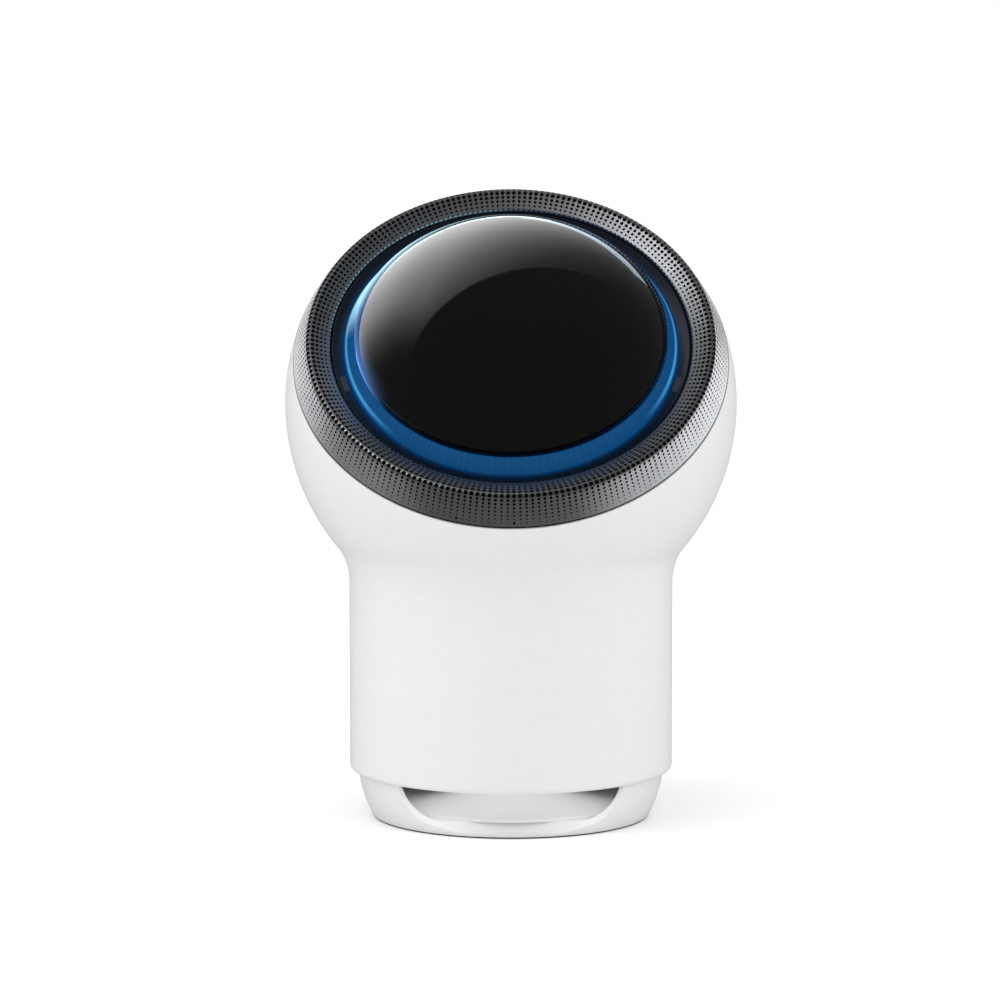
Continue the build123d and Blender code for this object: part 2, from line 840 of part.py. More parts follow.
def glide_ring():
    """The slippery washer that the ring carrier runs on."""
    bore = hub_outer_radius + bond_gap
    return disc(bore + glide_width, chassis_top, chassis_top + glide_height, bore)


def head_board():
    """The round board under the dome with the lights and the switch."""
    return disc(collar_outer_radius - board_edge_gap, chassis_top, head_board_top)


def leds():
    """The lights under the collar."""
    middle = collar_outer_radius - board_edge_gap - led_size
    one = Pos(0, 0, head_board_top + led_height / 2) * Box(led_size, led_size, led_height)
    return around(one, middle, led_count)


def microphones():
    """The microphones on the chassis, under the carrier's windows."""
    one = Pos(0, 0, chassis_top + microphone_height / 2) * Box(
        microphone_width, microphone_length, microphone_height
    )
    return around(one, carrier_window_circle, microphone_count)


def code_circle():
    """Middle radius of the ring of code windows."""
    return hub_outer_radius + code_ring_inset + code_ring_width / 2


def encoder_sensor():
    """The optical reader below the code ring."""
    body = Box(sensor_width, code_ring_width + bond_gap, sensor_height)
    return Pos(0, code_circle(), chassis_top + sensor_height / 2) * body


def tact_switch():
    """The switch that the dome presses, with the bore of its plunger."""
    body = Pos(0, 0, head_board_top + switch_height / 2) * Box(switch_side, switch_side, switch_height)
    well = head_board_top + switch_well_floor
    return body - disc(plunger_radius + bearing_clearance, well, well + switch_height)


def switch_plunger():
    """The plunger between the dome's carrier and the switch."""
    foot = head_board_top + switch_well_floor + dome_travel + plunger_play
    return disc(plunger_radius, foot, dome_carrier_rise)


def guide_bushes():
    """The bushes on the board that guide the dome's pins."""
    bore = guide_pin_radius + bearing_clearance
    top = dome_carrier_rise - dome_travel - stop_gap
    bush = disc(bore + guide_bush_wall, head_board_top, top, bore)
    return around(bush, guide_circle, guide_pin_count, guide_turn)


def light_guide():
    """The translucent blue collar that lights up round the dome."""
    foot = head_board_top + collar_foot_gap
    return turned([
        (collar_bore_radius, foot),
        (collar_outer_radius, foot),
        (collar_outer_radius, collar_shoulder_rise),
        (collar_bore_radius + collar_top_width, collar_top_rise),
        (collar_bore_radius, collar_top_rise),
    ])


def bezel():
    """The dark sloping collar between the light and the ring, which also keeps the ring on."""
    inner = collar_outer_radius + bond_gap
    outer = ring_inner_radius - running_gap
    top = ring_inner_rise - bezel_edge_drop
    catch = carrier_step_rise + bezel_catch_gap
    collar = turned([
        (inner, carrier_step_rise + bond_gap),
        (hub_outer_radius, carrier_step_rise + bond_gap),
        (hub_outer_radius, catch),
        (outer, catch),
        (outer, top),
        (inner, collar_shoulder_rise + bond_gap),
    ])
    for part in window_blocks(0.0):
        collar -= part
    return collar


def window_blocks(shrink):
    """The two sockets, or with a shrink the two windows, low on each side of the bezel."""
    middle = (collar_outer_radius + ring_inner_radius) / 2
    height = ring_inner_rise - bezel_edge_drop - window_height / 2
    block = Pos(middle, 0, height) * Box(
        bezel_width - window_rim - shrink, window_length - shrink, window_height - shrink
    )
    return [Rot(0, 0, -window_angle) * block, Rot(0, 0, 180 + window_angle) * block]


def sensor_windows():
    """The two small clear windows let into the bezel."""
    return window_blocks(2 * bond_gap)


def ring_outline():
    """The ring's outside as (radius, rise) points: rim, crest and inner edge."""
    return [
        (ring_rim_radius, ring_rim_rise),
        (ring_crest_radius, ring_crest_rise),
        (ring_inner_radius, ring_inner_rise),
    ]


def inset_outline(depth):
    """The ring's outside moved inwards by a depth, as rim, crest and inner edge points."""
    rim, crest, inner = [Vector(*point) for point in ring_outline()]
    outer_run = (crest - rim).normalized()
    inner_run = (inner - crest).normalized()
    outer_normal = Vector(-outer_run.Y, outer_run.X)
    inner_normal = Vector(-inner_run.Y, inner_run.X)
    scale = depth / (1 + outer_normal.dot(inner_normal))
    moved = [
        rim + outer_normal * depth,
        crest + (outer_normal + inner_normal) * scale,
        inner + inner_normal * depth,
    ]
    return [(point.X, point.Y) for point in moved]


def radius_at(rise, depth):
    """Radius of the ring's outer flank at a rise, moved inwards by a depth."""
    rim, crest, _ = inset_outline(depth)
    share = (rise - rim[1]) / (crest[1] - rim[1])
    return rim[0] + share * (crest[0] - rim[0])


def rise_at(radius, depth):
    """Rise of the ring's inner flank at a radius, moved inwards by a depth."""
    _, crest, inner = inset_outline(depth)
    share = (radius - crest[0]) / (inner[0] - crest[0])
    return crest[1] + share * (inner[1] - crest[1])


def facets(low_radius, low, high_radius, high):
    """A tapering block with one flat side for each column of holes; its radii are across the flats."""
    slope = math.degrees(math.atan((low_radius - high_radius) / (high - low)))
    side = RegularPolygon(low_radius, perforation_columns, major_radius=False)
    return Pos(0, 0, low) * extrude(side, high - low, taper=slope)


def volume_ring():
    """The turning ring: a pressed metal skin with rows of holes on both flanks."""
    rim, crest, inner = ring_outline()
    _, low_crest, _ = inset_outline(ring_skin)
    lip = ring_inner_radius + ring_skin
    lip_bottom = ring_inner_rise - ring_lip_depth
    lip_top = rise_at(lip, ring_skin)
    hollow = facets(radius_at(rim[1], ring_skin), rim[1], *low_crest)
    hollow -= facets(lip, lip_bottom, lip, lip_top)
    hollow -= facets(lip, lip_top, *low_crest)
    ring = facets(*rim, *crest) - hollow
    ring -= facets(inner[0], rim[1], inner[0], inner[1])
    ring -= facets(*inner, *crest)
    spread = ring_flank_width / ring_flank_height + ring_inner_width / ring_inner_drop
    ring -= disc(head_radius, crest[1] - ring_crest_flat / spread, everything)
    return ring - perforation_tools()


def perforation_tools():
    """Short hexagonal pegs through both flanks, one column repeated round the ring."""
    rim, crest, inner = ring_outline()
    column = flank_pegs(crest, rim, outer_perforation_rows)
    column += flank_pegs(crest, inner, inner_perforation_rows)
    pegs = []
    for peg in column:
        pegs += around(peg, 0, perforation_columns, 180 / perforation_columns)
    return pegs


def flank_pegs(crest, end, rows):
    """One column of pegs down a flank, square to it, starting beside the crest."""
    run = (Vector(*end) - Vector(*crest)).normalized()
    pegs = []
    for row in range(rows):
        distance = perforation_start + row * perforation_pitch
        width = perforation_width * (1 - perforation_shrink * row)
        place = Plane(
            origin=(crest[0] + run.X * distance, 0, crest[1] + run.Y * distance),
            x_dir=(0, 1, 0),
            z_dir=(-run.Y, 0, run.X),
        )
        pegs.append(place * extrude(RegularPolygon(width / 2, 6), 2 * ring_skin, both=True))
    return pegs


def ring_carrier():
    """The moulded carrier under the ring's skin, which turns on the chassis hub."""
    bore = hub_outer_radius + bearing_clearance
    near = ring_skin + bond_gap
    wall = carrier_well_inner - carrier_wall
    skirt_foot = ring_rim_rise + carrier_skirt_rise
    skirt_top = skirt_foot + carrier_skirt_height
    floor = carrier_rise + carrier_floor
    carrier = turned([
        (bore, carrier_rise),
        (chassis_radius, carrier_rise),
        (chassis_radius, skirt_foot),
        (radius_at(skirt_foot, near), skirt_foot),
        (radius_at(skirt_top, near), skirt_top),
        (carrier_well_outer, skirt_top),
        (carrier_well_outer, floor),
        (carrier_well_inner, floor),
        (carrier_well_inner, rise_at(carrier_well_inner, near)),
        (wall, rise_at(wall, near)),
        (wall, carrier_step_rise),
        (bore, carrier_step_rise),
    ])
    window = Pos(0, 0, carrier_rise) * Box(carrier_window_width, carrier_window_length, 4 * carrier_floor)
    for part in around(window, carrier_window_circle, carrier_window_count):
        carrier -= part
    return carrier


def acoustic_mesh():
    """The black cloth behind the ring's holes."""
    near = ring_skin + bond_gap
    far = near + mesh_thickness
    low = ring_rim_rise + carrier_skirt_rise + carrier_skirt_height + bearing_clearance
    inner = carrier_well_inner + bond_gap
    return turned([
        (radius_at(low, near), low),
        inset_outline(near)[1],
        (inner, rise_at(inner, near)),
        (inner, rise_at(inner, far)),
        inset_outline(far)[1],
        (radius_at(low, far), low),
    ])


def code_ring():
    """The slotted encoder ring under the carrier."""
    inner = hub_outer_radius + code_ring_inset
    ring = disc(inner + code_ring_width, carrier_rise - code_ring_thickness, carrier_rise, inner)
    window = Pos(0, 0, carrier_rise) * Box(code_window_width, code_window_width, 4 * code_ring_thickness)
    return ring - around(window, code_circle(), code_window_count)


# ---- dome unit, drawn in the head's own frame
def dome():
    """The glossy dome with its upright skirt."""
    outer = dome_curve(dome_base_radius, dome_equator_radius, dome_crown_height)
    inner = dome_curve(dome_inner_radius, dome_equator_radius - dome_wall, dome_crown_height - dome_wall)
    crown = Line(outer @ 1, inner @ 1)
    skirt = Polyline(
        inner @ 0,
        (dome_inner_radius, dome_skirt_rise),
        (dome_base_radius, dome_skirt_rise),
        outer @ 0,
    )
    return turned_face(make_face(Curve() + [outer, crown, inner, skirt]))


def dome_curve(base, equator, crown):
    """Half outline of an ellipsoid, from the base radius up to its top on the axis."""
    start = math.acos(base / equator)
    steps = 4
    points = []
    for step in range(steps + 1):
        turn = start + (math.pi / 2 - start) * step / steps
        points.append((equator * math.cos(turn), dome_equator_rise + crown * math.sin(turn)))
    first = (-equator * math.sin(start), crown * math.cos(start))
    return Spline(*points, tangents=[first, (-1, 0)])


def dome_carrier():
    """The disc inside the dome's skirt, with three guide pins."""
    plate = disc(
        dome_inner_radius - bond_gap, dome_carrier_rise, dome_carrier_rise + dome_carrier_thickness
    )
    pin = disc(guide_pin_radius, head_board_top + dome_travel + stop_gap, dome_carrier_rise)
    for part in around(pin, guide_circle, guide_pin_count, guide_turn):
        plate += part
    return plate


def build():
    """Writes every node."""
    os.makedirs("parts", exist_ok=True)
    upright = [
        front_housing, rear_housing, foot_shell, base_plate, rubber_pad, base_screws,
        acoustic_deflector, baffle, baffle_screws, driver_gasket, driver_frame, driver_screws,
        motor_plate, magnet, yoke, voice_coil, speaker_cone, dust_cap, surround, spider,
        main_board, shield_can, capacitors, board_screws, dc_jack, jack_pin, flat_cable,
    ]
    tilted = [
        head_chassis, chassis_screws, glide_ring, head_board, leds, microphones, encoder_sensor,
        tact_switch, switch_plunger, guide_bushes, light_guide, bezel, sensor_windows, volume_ring,
        ring_carrier, acoustic_mesh, code_ring, dome, dome_carrier,
    ]
    for make in upright:
        save(make.__name__, as_list(make()))
    for make in tilted:
        save(make.__name__, [in_head(shape) for shape in as_list(make())])


build()
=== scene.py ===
"""Looks of the smart speaker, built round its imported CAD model.

Sizes are millimetres until a mesh is made. Lamps and the camera are placed in metres.
"""

import json
import math

import bmesh
import bpy
from mathutils import Matrix, Vector


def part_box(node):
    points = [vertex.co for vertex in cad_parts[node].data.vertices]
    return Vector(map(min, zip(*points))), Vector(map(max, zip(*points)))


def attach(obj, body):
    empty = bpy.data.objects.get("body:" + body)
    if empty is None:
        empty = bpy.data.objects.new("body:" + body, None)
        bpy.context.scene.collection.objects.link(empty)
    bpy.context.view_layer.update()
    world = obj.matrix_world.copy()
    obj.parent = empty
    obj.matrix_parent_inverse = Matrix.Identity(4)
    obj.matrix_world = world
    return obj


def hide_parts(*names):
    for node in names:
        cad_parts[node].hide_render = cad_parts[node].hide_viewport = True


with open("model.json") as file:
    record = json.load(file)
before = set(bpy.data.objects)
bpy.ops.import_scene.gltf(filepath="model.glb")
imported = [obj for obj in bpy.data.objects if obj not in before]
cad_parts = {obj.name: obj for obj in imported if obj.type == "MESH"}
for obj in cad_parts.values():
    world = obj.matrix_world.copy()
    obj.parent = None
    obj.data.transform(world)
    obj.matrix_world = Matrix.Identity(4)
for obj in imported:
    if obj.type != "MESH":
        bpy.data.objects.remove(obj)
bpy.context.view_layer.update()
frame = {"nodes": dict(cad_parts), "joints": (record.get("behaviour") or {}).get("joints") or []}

MM = 0.001
TURN = 2 * math.pi

# ---------------------------------------------------------------- places and sizes from the frame
ring_joint = next(joint for joint in frame["joints"] if joint["name"] == "ring_turn")
head_axis = Vector(ring_joint["axis"]).normalized()
head_middle = Vector(ring_joint["pos_m"]) / MM
head_tilt = math.acos(head_axis.z)
front_low, front_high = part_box("front_housing")
foot_low, foot_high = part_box("foot_shell")
jack_low, jack_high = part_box("dc_jack")
pad_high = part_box("rubber_pad")[1]

HEAD = Matrix.Translation(head_middle) @ Matrix.Rotation(head_tilt, 4, "X")
UPRIGHT = Matrix.Identity(4)
METRES = Matrix.Scale(MM, 4)

# ---------------------------------------------------------------- sizes: white body
HEAD_RADIUS = front_high.x / MM
BODY_BOTTOM = front_low.z / MM
BODY_RADIUS = 43.9
BODY_RIM_ROUND = 1.5
WALL = 2.0
NECK_ARC_RADIUS = 16.7
NECK_CORNER_DROP = 39.5
INNER_CORNER_DROP = 38.3
PARTING_LEAN = 0.35
PARTING_OFFSET = 3.9
PARTING_GAP = 0.22
SEAM_RISE = 18.2
SHELL_EDGE = 0.16
JACK_HOLE, JACK_COVER, JACK_FIT = 4.2, 0.6, 0.1
JACK_CUT_START, JACK_CUT_END = 38.0, 50.0

# ---------------------------------------------------------------- sizes: foot and pad
FOOT_TOP_RADIUS = foot_high.x / MM
FOOT_BOTTOM_RADIUS = pad_high.x / MM
FOOT_BOTTOM = foot_low.z / MM
FOOT_TOP = foot_high.z / MM
FOOT_SIDE_TOP = BODY_BOTTOM - 0.4
FOOT_SIDE_MIDDLE = (40.25, 6.5)
FOOT_WALL = 2.2
FOOT_WALL_THINNING = 0.8
FOOT_FLOOR = 3.8
FOOT_EDGE = 0.3
SLOT_HALF_WIDTH = 29.4
SLOT_CORNER = 11.2
SLOT_TOP = BODY_BOTTOM + 1.0
SLOT_LIP_DEPTH = 1.9
SLOT_LIP_SIDE, SLOT_LIP_LOW = 0.9, 2.2
SLOT_TOOL_BACK, SLOT_TOOL_FRONT = -14.0, -60.0
PAD_TOP = pad_high.z / MM
PAD_BEVEL, PAD_EDGE = 0.8, 0.3
# Height and blur of the pad's dark band: rubber sole and painted contact shadow.
PAD_SOLE_AND_SHADOW, PAD_SOLE_AND_SHADOW_BLUR = 0.4, 0.05

# ---------------------------------------------------------------- sizes: ring, by radius and rise on the axis
RIM_RADIUS, RIM_RISE = 58.1, 18.6
CREST_RADIUS, CREST_RISE = 54.0, 27.4
INNER_RADIUS, INNER_RISE = 48.0, 24.8
CREST_ROUND, LIP_ROUND = 1.6, 0.35
RING_SKIN = 0.8
LIP_DEPTH = 2.4
COLUMNS = 216
FLANK_HOLES = (1.26, 0.86, 0.76, 0.68, 0.62, 0.56, 0.48, 0.38)
INNER_HOLES = (1.16, 0.98, 0.82, 0.68, 0.54)
CREST_PITCH, FLANK_PITCH, INNER_PITCH = 0.72, 1.08, 1.16
FLANK_CLEARANCE, INNER_CLEARANCE = 0.14, 0.10
MICROPHONE_HOLE = 0.78
MICROPHONE_TURNS = (-90.8, -105.8)

# ---------------------------------------------------------------- sizes: inside the ring
COLLAR_BORE, COLLAR_OUTER = 41.5, 44.65
COLLAR_TOP, COLLAR_SHOULDER, COLLAR_BOTTOM = 27.3, 23.2, 16.4
COLLAR_TOP_WIDTH = 0.5
COLLAR_SHOULDER_ROUND, COLLAR_TOP_ROUND = 0.3, 0.25
BEZEL_BORE, BEZEL_OUTER = COLLAR_OUTER + 0.05, 47.65
BEZEL_TOP, BEZEL_BOTTOM = INNER_RISE - 0.3, 19.0
BEZEL_ROUND = 0.25
DOME_BASE, DOME_WIDEST = 41.2, 41.35
DOME_EQUATOR, DOME_CROWN, DOME_RISE = 42.4, 28.3, 20.9
DOME_SKIRT = 20.8
DOME_SHOULDER, SHOULDER_LOW, SHOULDER_HIGH = 0.85, 28.0, 38.0
DOME_WALL = 2.0
WINDOW_SIZE = (2.7, 5.5, 1.7)
WINDOW_RADIUS = (COLLAR_OUTER + INNER_RADIUS) / 2
WINDOW_RISE = INNER_RISE - 1.6
WINDOW_TURN = 17.5
WINDOW_EDGE = 0.3

# ---------------------------------------------------------------- meshes
ROUND_STEPS = 288
ON_AXIS = 1e-6
SHARP_DEGREES = 32.0
SOFT_SHARP_DEGREES = 50.0
BLOCK_SIDE = 400.0


def linked(name, data):
    """A new object with this data, in the scene."""
    item = bpy.data.objects.new(name, data)
    bpy.context.scene.collection.objects.link(item)
    return item


def shade(mesh, sharp_degrees):
    """Shades a mesh smooth, except at edges sharper than the given angle."""
    for polygon in mesh.polygons:
        polygon.use_smooth = True
    mesh.set_sharp_from_angle(angle=math.radians(sharp_degrees))


def closed_piece(name, points, faces, place=UPRIGHT, sharp_degrees=SHARP_DEGREES):
    """A closed object from points and a placement in millimetres, with its faces turned outwards."""
    mesh = bpy.data.meshes.new(name)
    mesh.from_pydata([(place @ Vector(point)) * MM for point in points], [], faces)
    mesh.validate()
    shade(mesh, sharp_degrees)
    work = bmesh.new()
    work.from_mesh(mesh)
    bmesh.ops.recalc_face_normals(work, faces=work.faces)
    work.to_mesh(mesh)
    work.free()
    return linked(name, mesh)


def block(name, place):
    """A cube of side 1, sized and placed by a matrix in millimetres."""
    work = bmesh.new()
    bmesh.ops.create_cube(work, size=1.0)
    mesh = bpy.data.meshes.new(name)
    work.to_mesh(mesh)
    work.free()
    mesh.transform(METRES @ place)
    return linked(name, mesh)


def block_beyond(name, point, normal):
    """A big cube whose face lies at a point, filling the space that the normal points into."""
    out = Vector(normal).normalized()
    middle = Vector(point) + out * BLOCK_SIDE / 2
    turn = out.to_track_quat("Z", "Y").to_matrix().to_4x4()
    return block(name, Matrix.Translation(middle) @ turn @ Matrix.Scale(BLOCK_SIDE, 4))


def revolved(name, profile, place=UPRIGHT, steps=ROUND_STEPS):
    """A closed ring from a closed (radius, height) outline; points on the axis become poles."""
    points = []
    starts = []
    for radius, height in profile:
        starts.append(len(points))
        if radius < ON_AXIS:
            points.append((0.0, 0.0, height))
            continue
        for step in range(steps):
            turn = TURN * step / steps
            points.append((radius * math.cos(turn), radius * math.sin(turn), height))
    faces = []
    for row, (radius, _) in enumerate(profile):
        following = (row + 1) % len(profile)
        low, high = starts[row], starts[following]
        low_pole, high_pole = radius < ON_AXIS, profile[following][0] < ON_AXIS
        if low_pole and high_pole:
            continue
        for step in range(steps):
            after = (step + 1) % steps
            if low_pole:
                faces.append((low, high + after, high + step))
            elif high_pole:
                faces.append((low + step, low + after, high))
            else:
                faces.append((low + step, low + after, high + after, high + step))
    return closed_piece(name, points, faces, place)


def arc(middle, radius, start, end, steps):
    """Points on a circle from one angle to another, in degrees."""
    points = []
    for step in range(steps + 1):
        turn = math.radians(start + (end - start) * step / steps)
        points.append((middle[0] + radius * math.cos(turn), middle[1] + radius * math.sin(turn)))
    return points


def rounded(outline, rounds, steps=5):
    """A closed outline whose numbered corners are replaced by arcs of the given radius."""
    result = []
    for index, point in enumerate(outline):
        if index not in rounds:
            result.append(point)
            continue
        here = Vector(point)
        before = (Vector(outline[index - 1]) - here).normalized()
        after = (Vector(outline[(index + 1) % len(outline)]) - here).normalized()
        half = before.angle(after) / 2
        reach = rounds[index] / math.tan(half)
        middle = here + (before + after).normalized() * (rounds[index] / math.sin(half))
        first = here + before * reach - middle
        last = here + after * reach - middle
        sweep = first.angle_signed(last)
        for step in range(steps + 1):
            turned = first.copy()
            turned.rotate(Matrix.Rotation(-sweep * step / steps, 2))
            result.append(tuple(middle + turned))
    return result


def apply_modifiers(piece):
    """Replaces a piece's mesh by its evaluated one."""
    bpy.context.view_layer.update()
    graph = bpy.context.evaluated_depsgraph_get()
    mesh = bpy.data.meshes.new_from_object(piece.evaluated_get(graph))
    piece.modifiers.clear()
    piece.data = mesh


def cut(piece, tool, operation="DIFFERENCE"):
    """Applies a boolean with another object and removes that object."""
    modifier = piece.modifiers.new("cut", "BOOLEAN")
    modifier.operation = operation
    modifier.object = tool
    modifier.solver = "EXACT"
    apply_modifiers(piece)
    bpy.data.objects.remove(tool)


def soften(piece, width, angle=35.0, segments=2):
    """Rounds a piece's edges where they turn by more than an angle."""
    modifier = piece.modifiers.new("soften", "BEVEL")
    modifier.width = width * MM
    modifier.segments = segments
    modifier.limit_method = "ANGLE"
    modifier.angle_limit = math.radians(angle)
    apply_modifiers(piece)
    shade(piece.data, SOFT_SHARP_DEGREES)


def finish_piece(piece, material, slot, body, *nodes):
    """Gives a piece its material and body, and hides the CAD nodes it stands for. The slot is not used."""
    piece.data.materials.clear()
    piece.data.materials.append(material)
    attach(piece, body)
    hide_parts(*nodes)


# ---------------------------------------------------------------- nodes
TEXTURE_RANGE = (0.3, 0.7)  # the middle range, where most of a noise lies
NOISE_ROUGHNESS = 0.55
BROAD_SHARE = 0.06  # scale of a finish's broad mottling against its fine grain
GRAIN_STRENGTH = 0.25
WAVE_RADIANS = 20.0  # what a wave texture of scale 1 turns by in a metre
FALLING = (1.0, 0.0)


def grey(level):
    """A neutral colour."""
    return level, level, level


def fill(owner, node, inputs):
    """Gives a node's inputs, by name or number, their values or other nodes' results."""
    for key, value in inputs.items():
        if isinstance(value, bpy.types.NodeSocket):
            owner.node_tree.links.new(value, node.inputs[key])
        else:
            node.inputs[key].default_value = value


def add_node(owner, kind, inputs=None, **settings):
    """Adds a shader node to a material, a lamp or the world."""
    node = owner.node_tree.nodes.new("ShaderNode" + kind)
    for name, value in settings.items():
        setattr(node, name, value)
    fill(owner, node, inputs or {})
    return node


def reckon(owner, operation, *values):
    """A Math node's result from numbers or other results."""
    return add_node(owner, "Math", dict(enumerate(values)), operation=operation).outputs["Value"]


def reckon_vector(owner, operation, *values):
    """A Vector Math node's result: a number for a length or a dot product, otherwise a vector."""
    node = add_node(owner, "VectorMath", dict(enumerate(values)), operation=operation)
    return node.outputs["Value" if operation in ("LENGTH", "DOT_PRODUCT") else "Vector"]


def ramp(owner, source, low, high, start=0.0, end=1.0, kind="SMOOTHSTEP"):
    """Runs from start to end while the source runs from low to high."""
    inputs = {"Value": source, "From Min": low, "From Max": high, "To Min": start, "To Max": end}
    return add_node(owner, "MapRange", inputs, interpolation_type=kind).outputs["Result"]


def blend(material, factor, first, second):
    """Blends from the first colour to the second; each is three numbers or a colour result."""
    colours = [value if isinstance(value, bpy.types.NodeSocket) else (*value, 1) for value in (first, second)]
    return add_node(material, "MixRGB", dict(enumerate((factor, *colours)))).outputs["Color"]


def tint(material, source, first, second):
    """Blends two colours over a texture's middle range."""
    node = add_node(material, "ValToRGB", {"Fac": source})
    for stop, position, colour in zip(node.color_ramp.elements, TEXTURE_RANGE, (first, second)):
        stop.position = position
        stop.color = (*colour, 1)
    return node.outputs["Color"]


def spread(material, source, low, high):
    """Maps a texture's middle range onto low to high."""
    return ramp(material, source, *TEXTURE_RANGE, low, high, "LINEAR")


def in_object(material):
    """The place in the piece's own space, in metres."""
    return add_node(material, "TexCoord").outputs["Object"]


def noise(material, scale, detail, roughness=NOISE_ROUGHNESS):
    """A noise value in object space; its scale is in cycles per metre."""
    inputs = {"Vector": in_object(material), "Scale": scale, "Detail": detail, "Roughness": roughness}
    return add_node(material, "TexNoise", inputs).outputs["Fac"]


def head_parts(material):
    """Millimetres to the right, up the face and along the head's axis, from the head's middle."""
    shifted = reckon_vector(material, "SUBTRACT", in_object(material), head_middle * MM)
    axes = [HEAD.col[index].to_3d() / MM for index in range(3)]
    return [reckon_vector(material, "DOT_PRODUCT", shifted, axis) for axis in axes]


def head_reach(material, right, up):
    """Distance from the head's axis, in millimetres."""
    squares = reckon(material, "MULTIPLY_ADD", up, up, reckon(material, "MULTIPLY", right, right))
    return reckon(material, "SQRT", squares)


def towards(material, right, up, degrees):
    """1 on the side of the head that lies at this turn, counted from the right, and -1 on the other side."""
    turn = math.radians(degrees)
    across = reckon(material, "MULTIPLY", right, math.cos(turn))
    along = reckon(material, "MULTIPLY_ADD", up, math.sin(turn), across)
    return reckon(material, "DIVIDE", along, head_reach(material, right, up))


# ---------------------------------------------------------------- materials
# Where light and shade are painted on the head's pieces, and where the light guide's own light shows.
# Turns are degrees counted from the right, and a side is the (low, high) range of the cosine of the turn
# away from them. Rises and reaches are millimetre ranges.
# Painted glow low on the dome at the left, and a faint painted rim light high on its top.
GLOW_RISE, GLOW_TURN, GLOW_SIDE = (27.4, 33.6), 150, (0.35, 0.85)
PALE_LIFT, PALE_TURN, PALE_SIDE = 5.0, 122, (0.5, 1.0)
BACK_GLOW_RISE, BACK_GLOW_TURN, BACK_GLOW_SIDE = (35.0, 39.5), 95, (0.45, 0.9)
GLOW_STRENGTH, BACK_GLOW_STRENGTH = 1.15, 0.12
# Painted highlight: a bright line near the light guide's outer edge, at both sides.
GLINT_LINE_START, GLINT_LINE_END = (43.3, 43.7), (43.9, 44.2)
GLINT_LINE_TURN, GLINT_LINE_SIDE = 5, (0.72, 0.97)
# Painted shade along the light guide's outer edge.
SHADED_EDGE_REACH = (44.25, 44.6)
# Painted highlight: a pale crescent on the light guide's upper left.
GLINT_CRESCENT_RISE, GLINT_CRESCENT_TURN, GLINT_CRESCENT_SIDE = (23.0, 25.6), 130, (0.64, 0.95)
LIT_RISE, LIT_STRENGTH = (22.4, 23.0), 0.9
# Painted glow: the guide's blue light on the bezel beside it.
BEZEL_GLOW_REACH = (44.6, 46.6)
BEZEL_GLOW_LEAST, BEZEL_GLOW_MORE = 0.004, 0.07
# Painted shade: a near-black line along the ring's lower rim.
RING_EDGE_SHADE_RISE = (RIM_RISE + 0.2, RIM_RISE + 0.45)


def new_material(name):
    """A node material and its Principled shader."""
    material = bpy.data.materials.new(name)
    material.use_nodes = True
    return material, shader_of(material)


def shader_of(material):
    """A material's Principled shader."""
    return material.node_tree.nodes["Principled BSDF"]


def overlay(material, factor, colour):
    """Lays a colour over a material's own colour where the factor is 1."""
    shader = shader_of(material)
    own = shader.inputs["Base Color"].links[0].from_socket
    fill(material, shader, {"Base Color": blend(material, factor, own, colour)})


def bump(material, shader, source, strength, distance):
    """Gives the shader small relief from a texture; the distance is in millimetres."""
    inputs = {"Height": source, "Strength": strength, "Distance": distance * MM}
    fill(material, shader, {"Normal": add_node(material, "Bump", inputs).outputs["Normal"]})


def grained(name, first, second, rough, grain, relief, metallic=0.0, specular=0.5):
    """A moulded, painted or metal finish: two close tints, uneven roughness and fine relief.

    The grain is in cycles per metre and the relief in millimetres.
    """
    material, shader = new_material(name)
    broad = noise(material, grain * BROAD_SHARE, detail=3.0)
    fine = noise(material, grain, detail=5.0, roughness=0.6)
    fill(material, shader, {
        "Base Color": tint(material, broad, first, second),
        "Roughness": spread(material, fine, *rough),
        "Metallic": metallic,
        "Specular IOR Level": specular,
    })
    bump(material, shader, fine, GRAIN_STRENGTH, relief)
    return material


def white_plastic():
    """Satin white moulding with a very fine texture."""
    return grained("white_plastic", grey(0.80), grey(0.815), (0.36, 0.44), 5200, 0.006)


def pad_sole_and_shadow():
    """The foot's white edge moulding with a thin dark band under it: partly rubber sole, partly painted
    shadow where it meets the floor.
    """
    material = grained("pad_sole_and_shadow", grey(0.80), grey(0.815), (0.5, 0.6), 3000, 0.01)
    height = add_node(material, "SeparateXYZ", {"Vector": in_object(material)}).outputs["Z"]
    # Rubber and painted shadow: the lowest part of the pad is near black.
    low, high = (PAD_SOLE_AND_SHADOW - PAD_SOLE_AND_SHADOW_BLUR) * MM, (PAD_SOLE_AND_SHADOW + PAD_SOLE_AND_SHADOW_BLUR) * MM
    overlay(material, ramp(material, height, low, high, *FALLING), grey(0.06))
    return material


def ring_paint():
    """Dark satin metal with a fine grain, and painted shade: near black along its lower rim, where it meets
    the white body.
    """
    tints = (0.31, 0.32, 0.33), (0.35, 0.36, 0.37)
    material = grained("ring_paint", *tints, (0.36, 0.46), 4200, 0.004, metallic=1.0)
    rise = head_parts(material)[2]
    # Painted shade: near black along the lowest part of the rim.
    overlay(material, ramp(material, rise, *RING_EDGE_SHADE_RISE, *FALLING), grey(0.02))
    return material


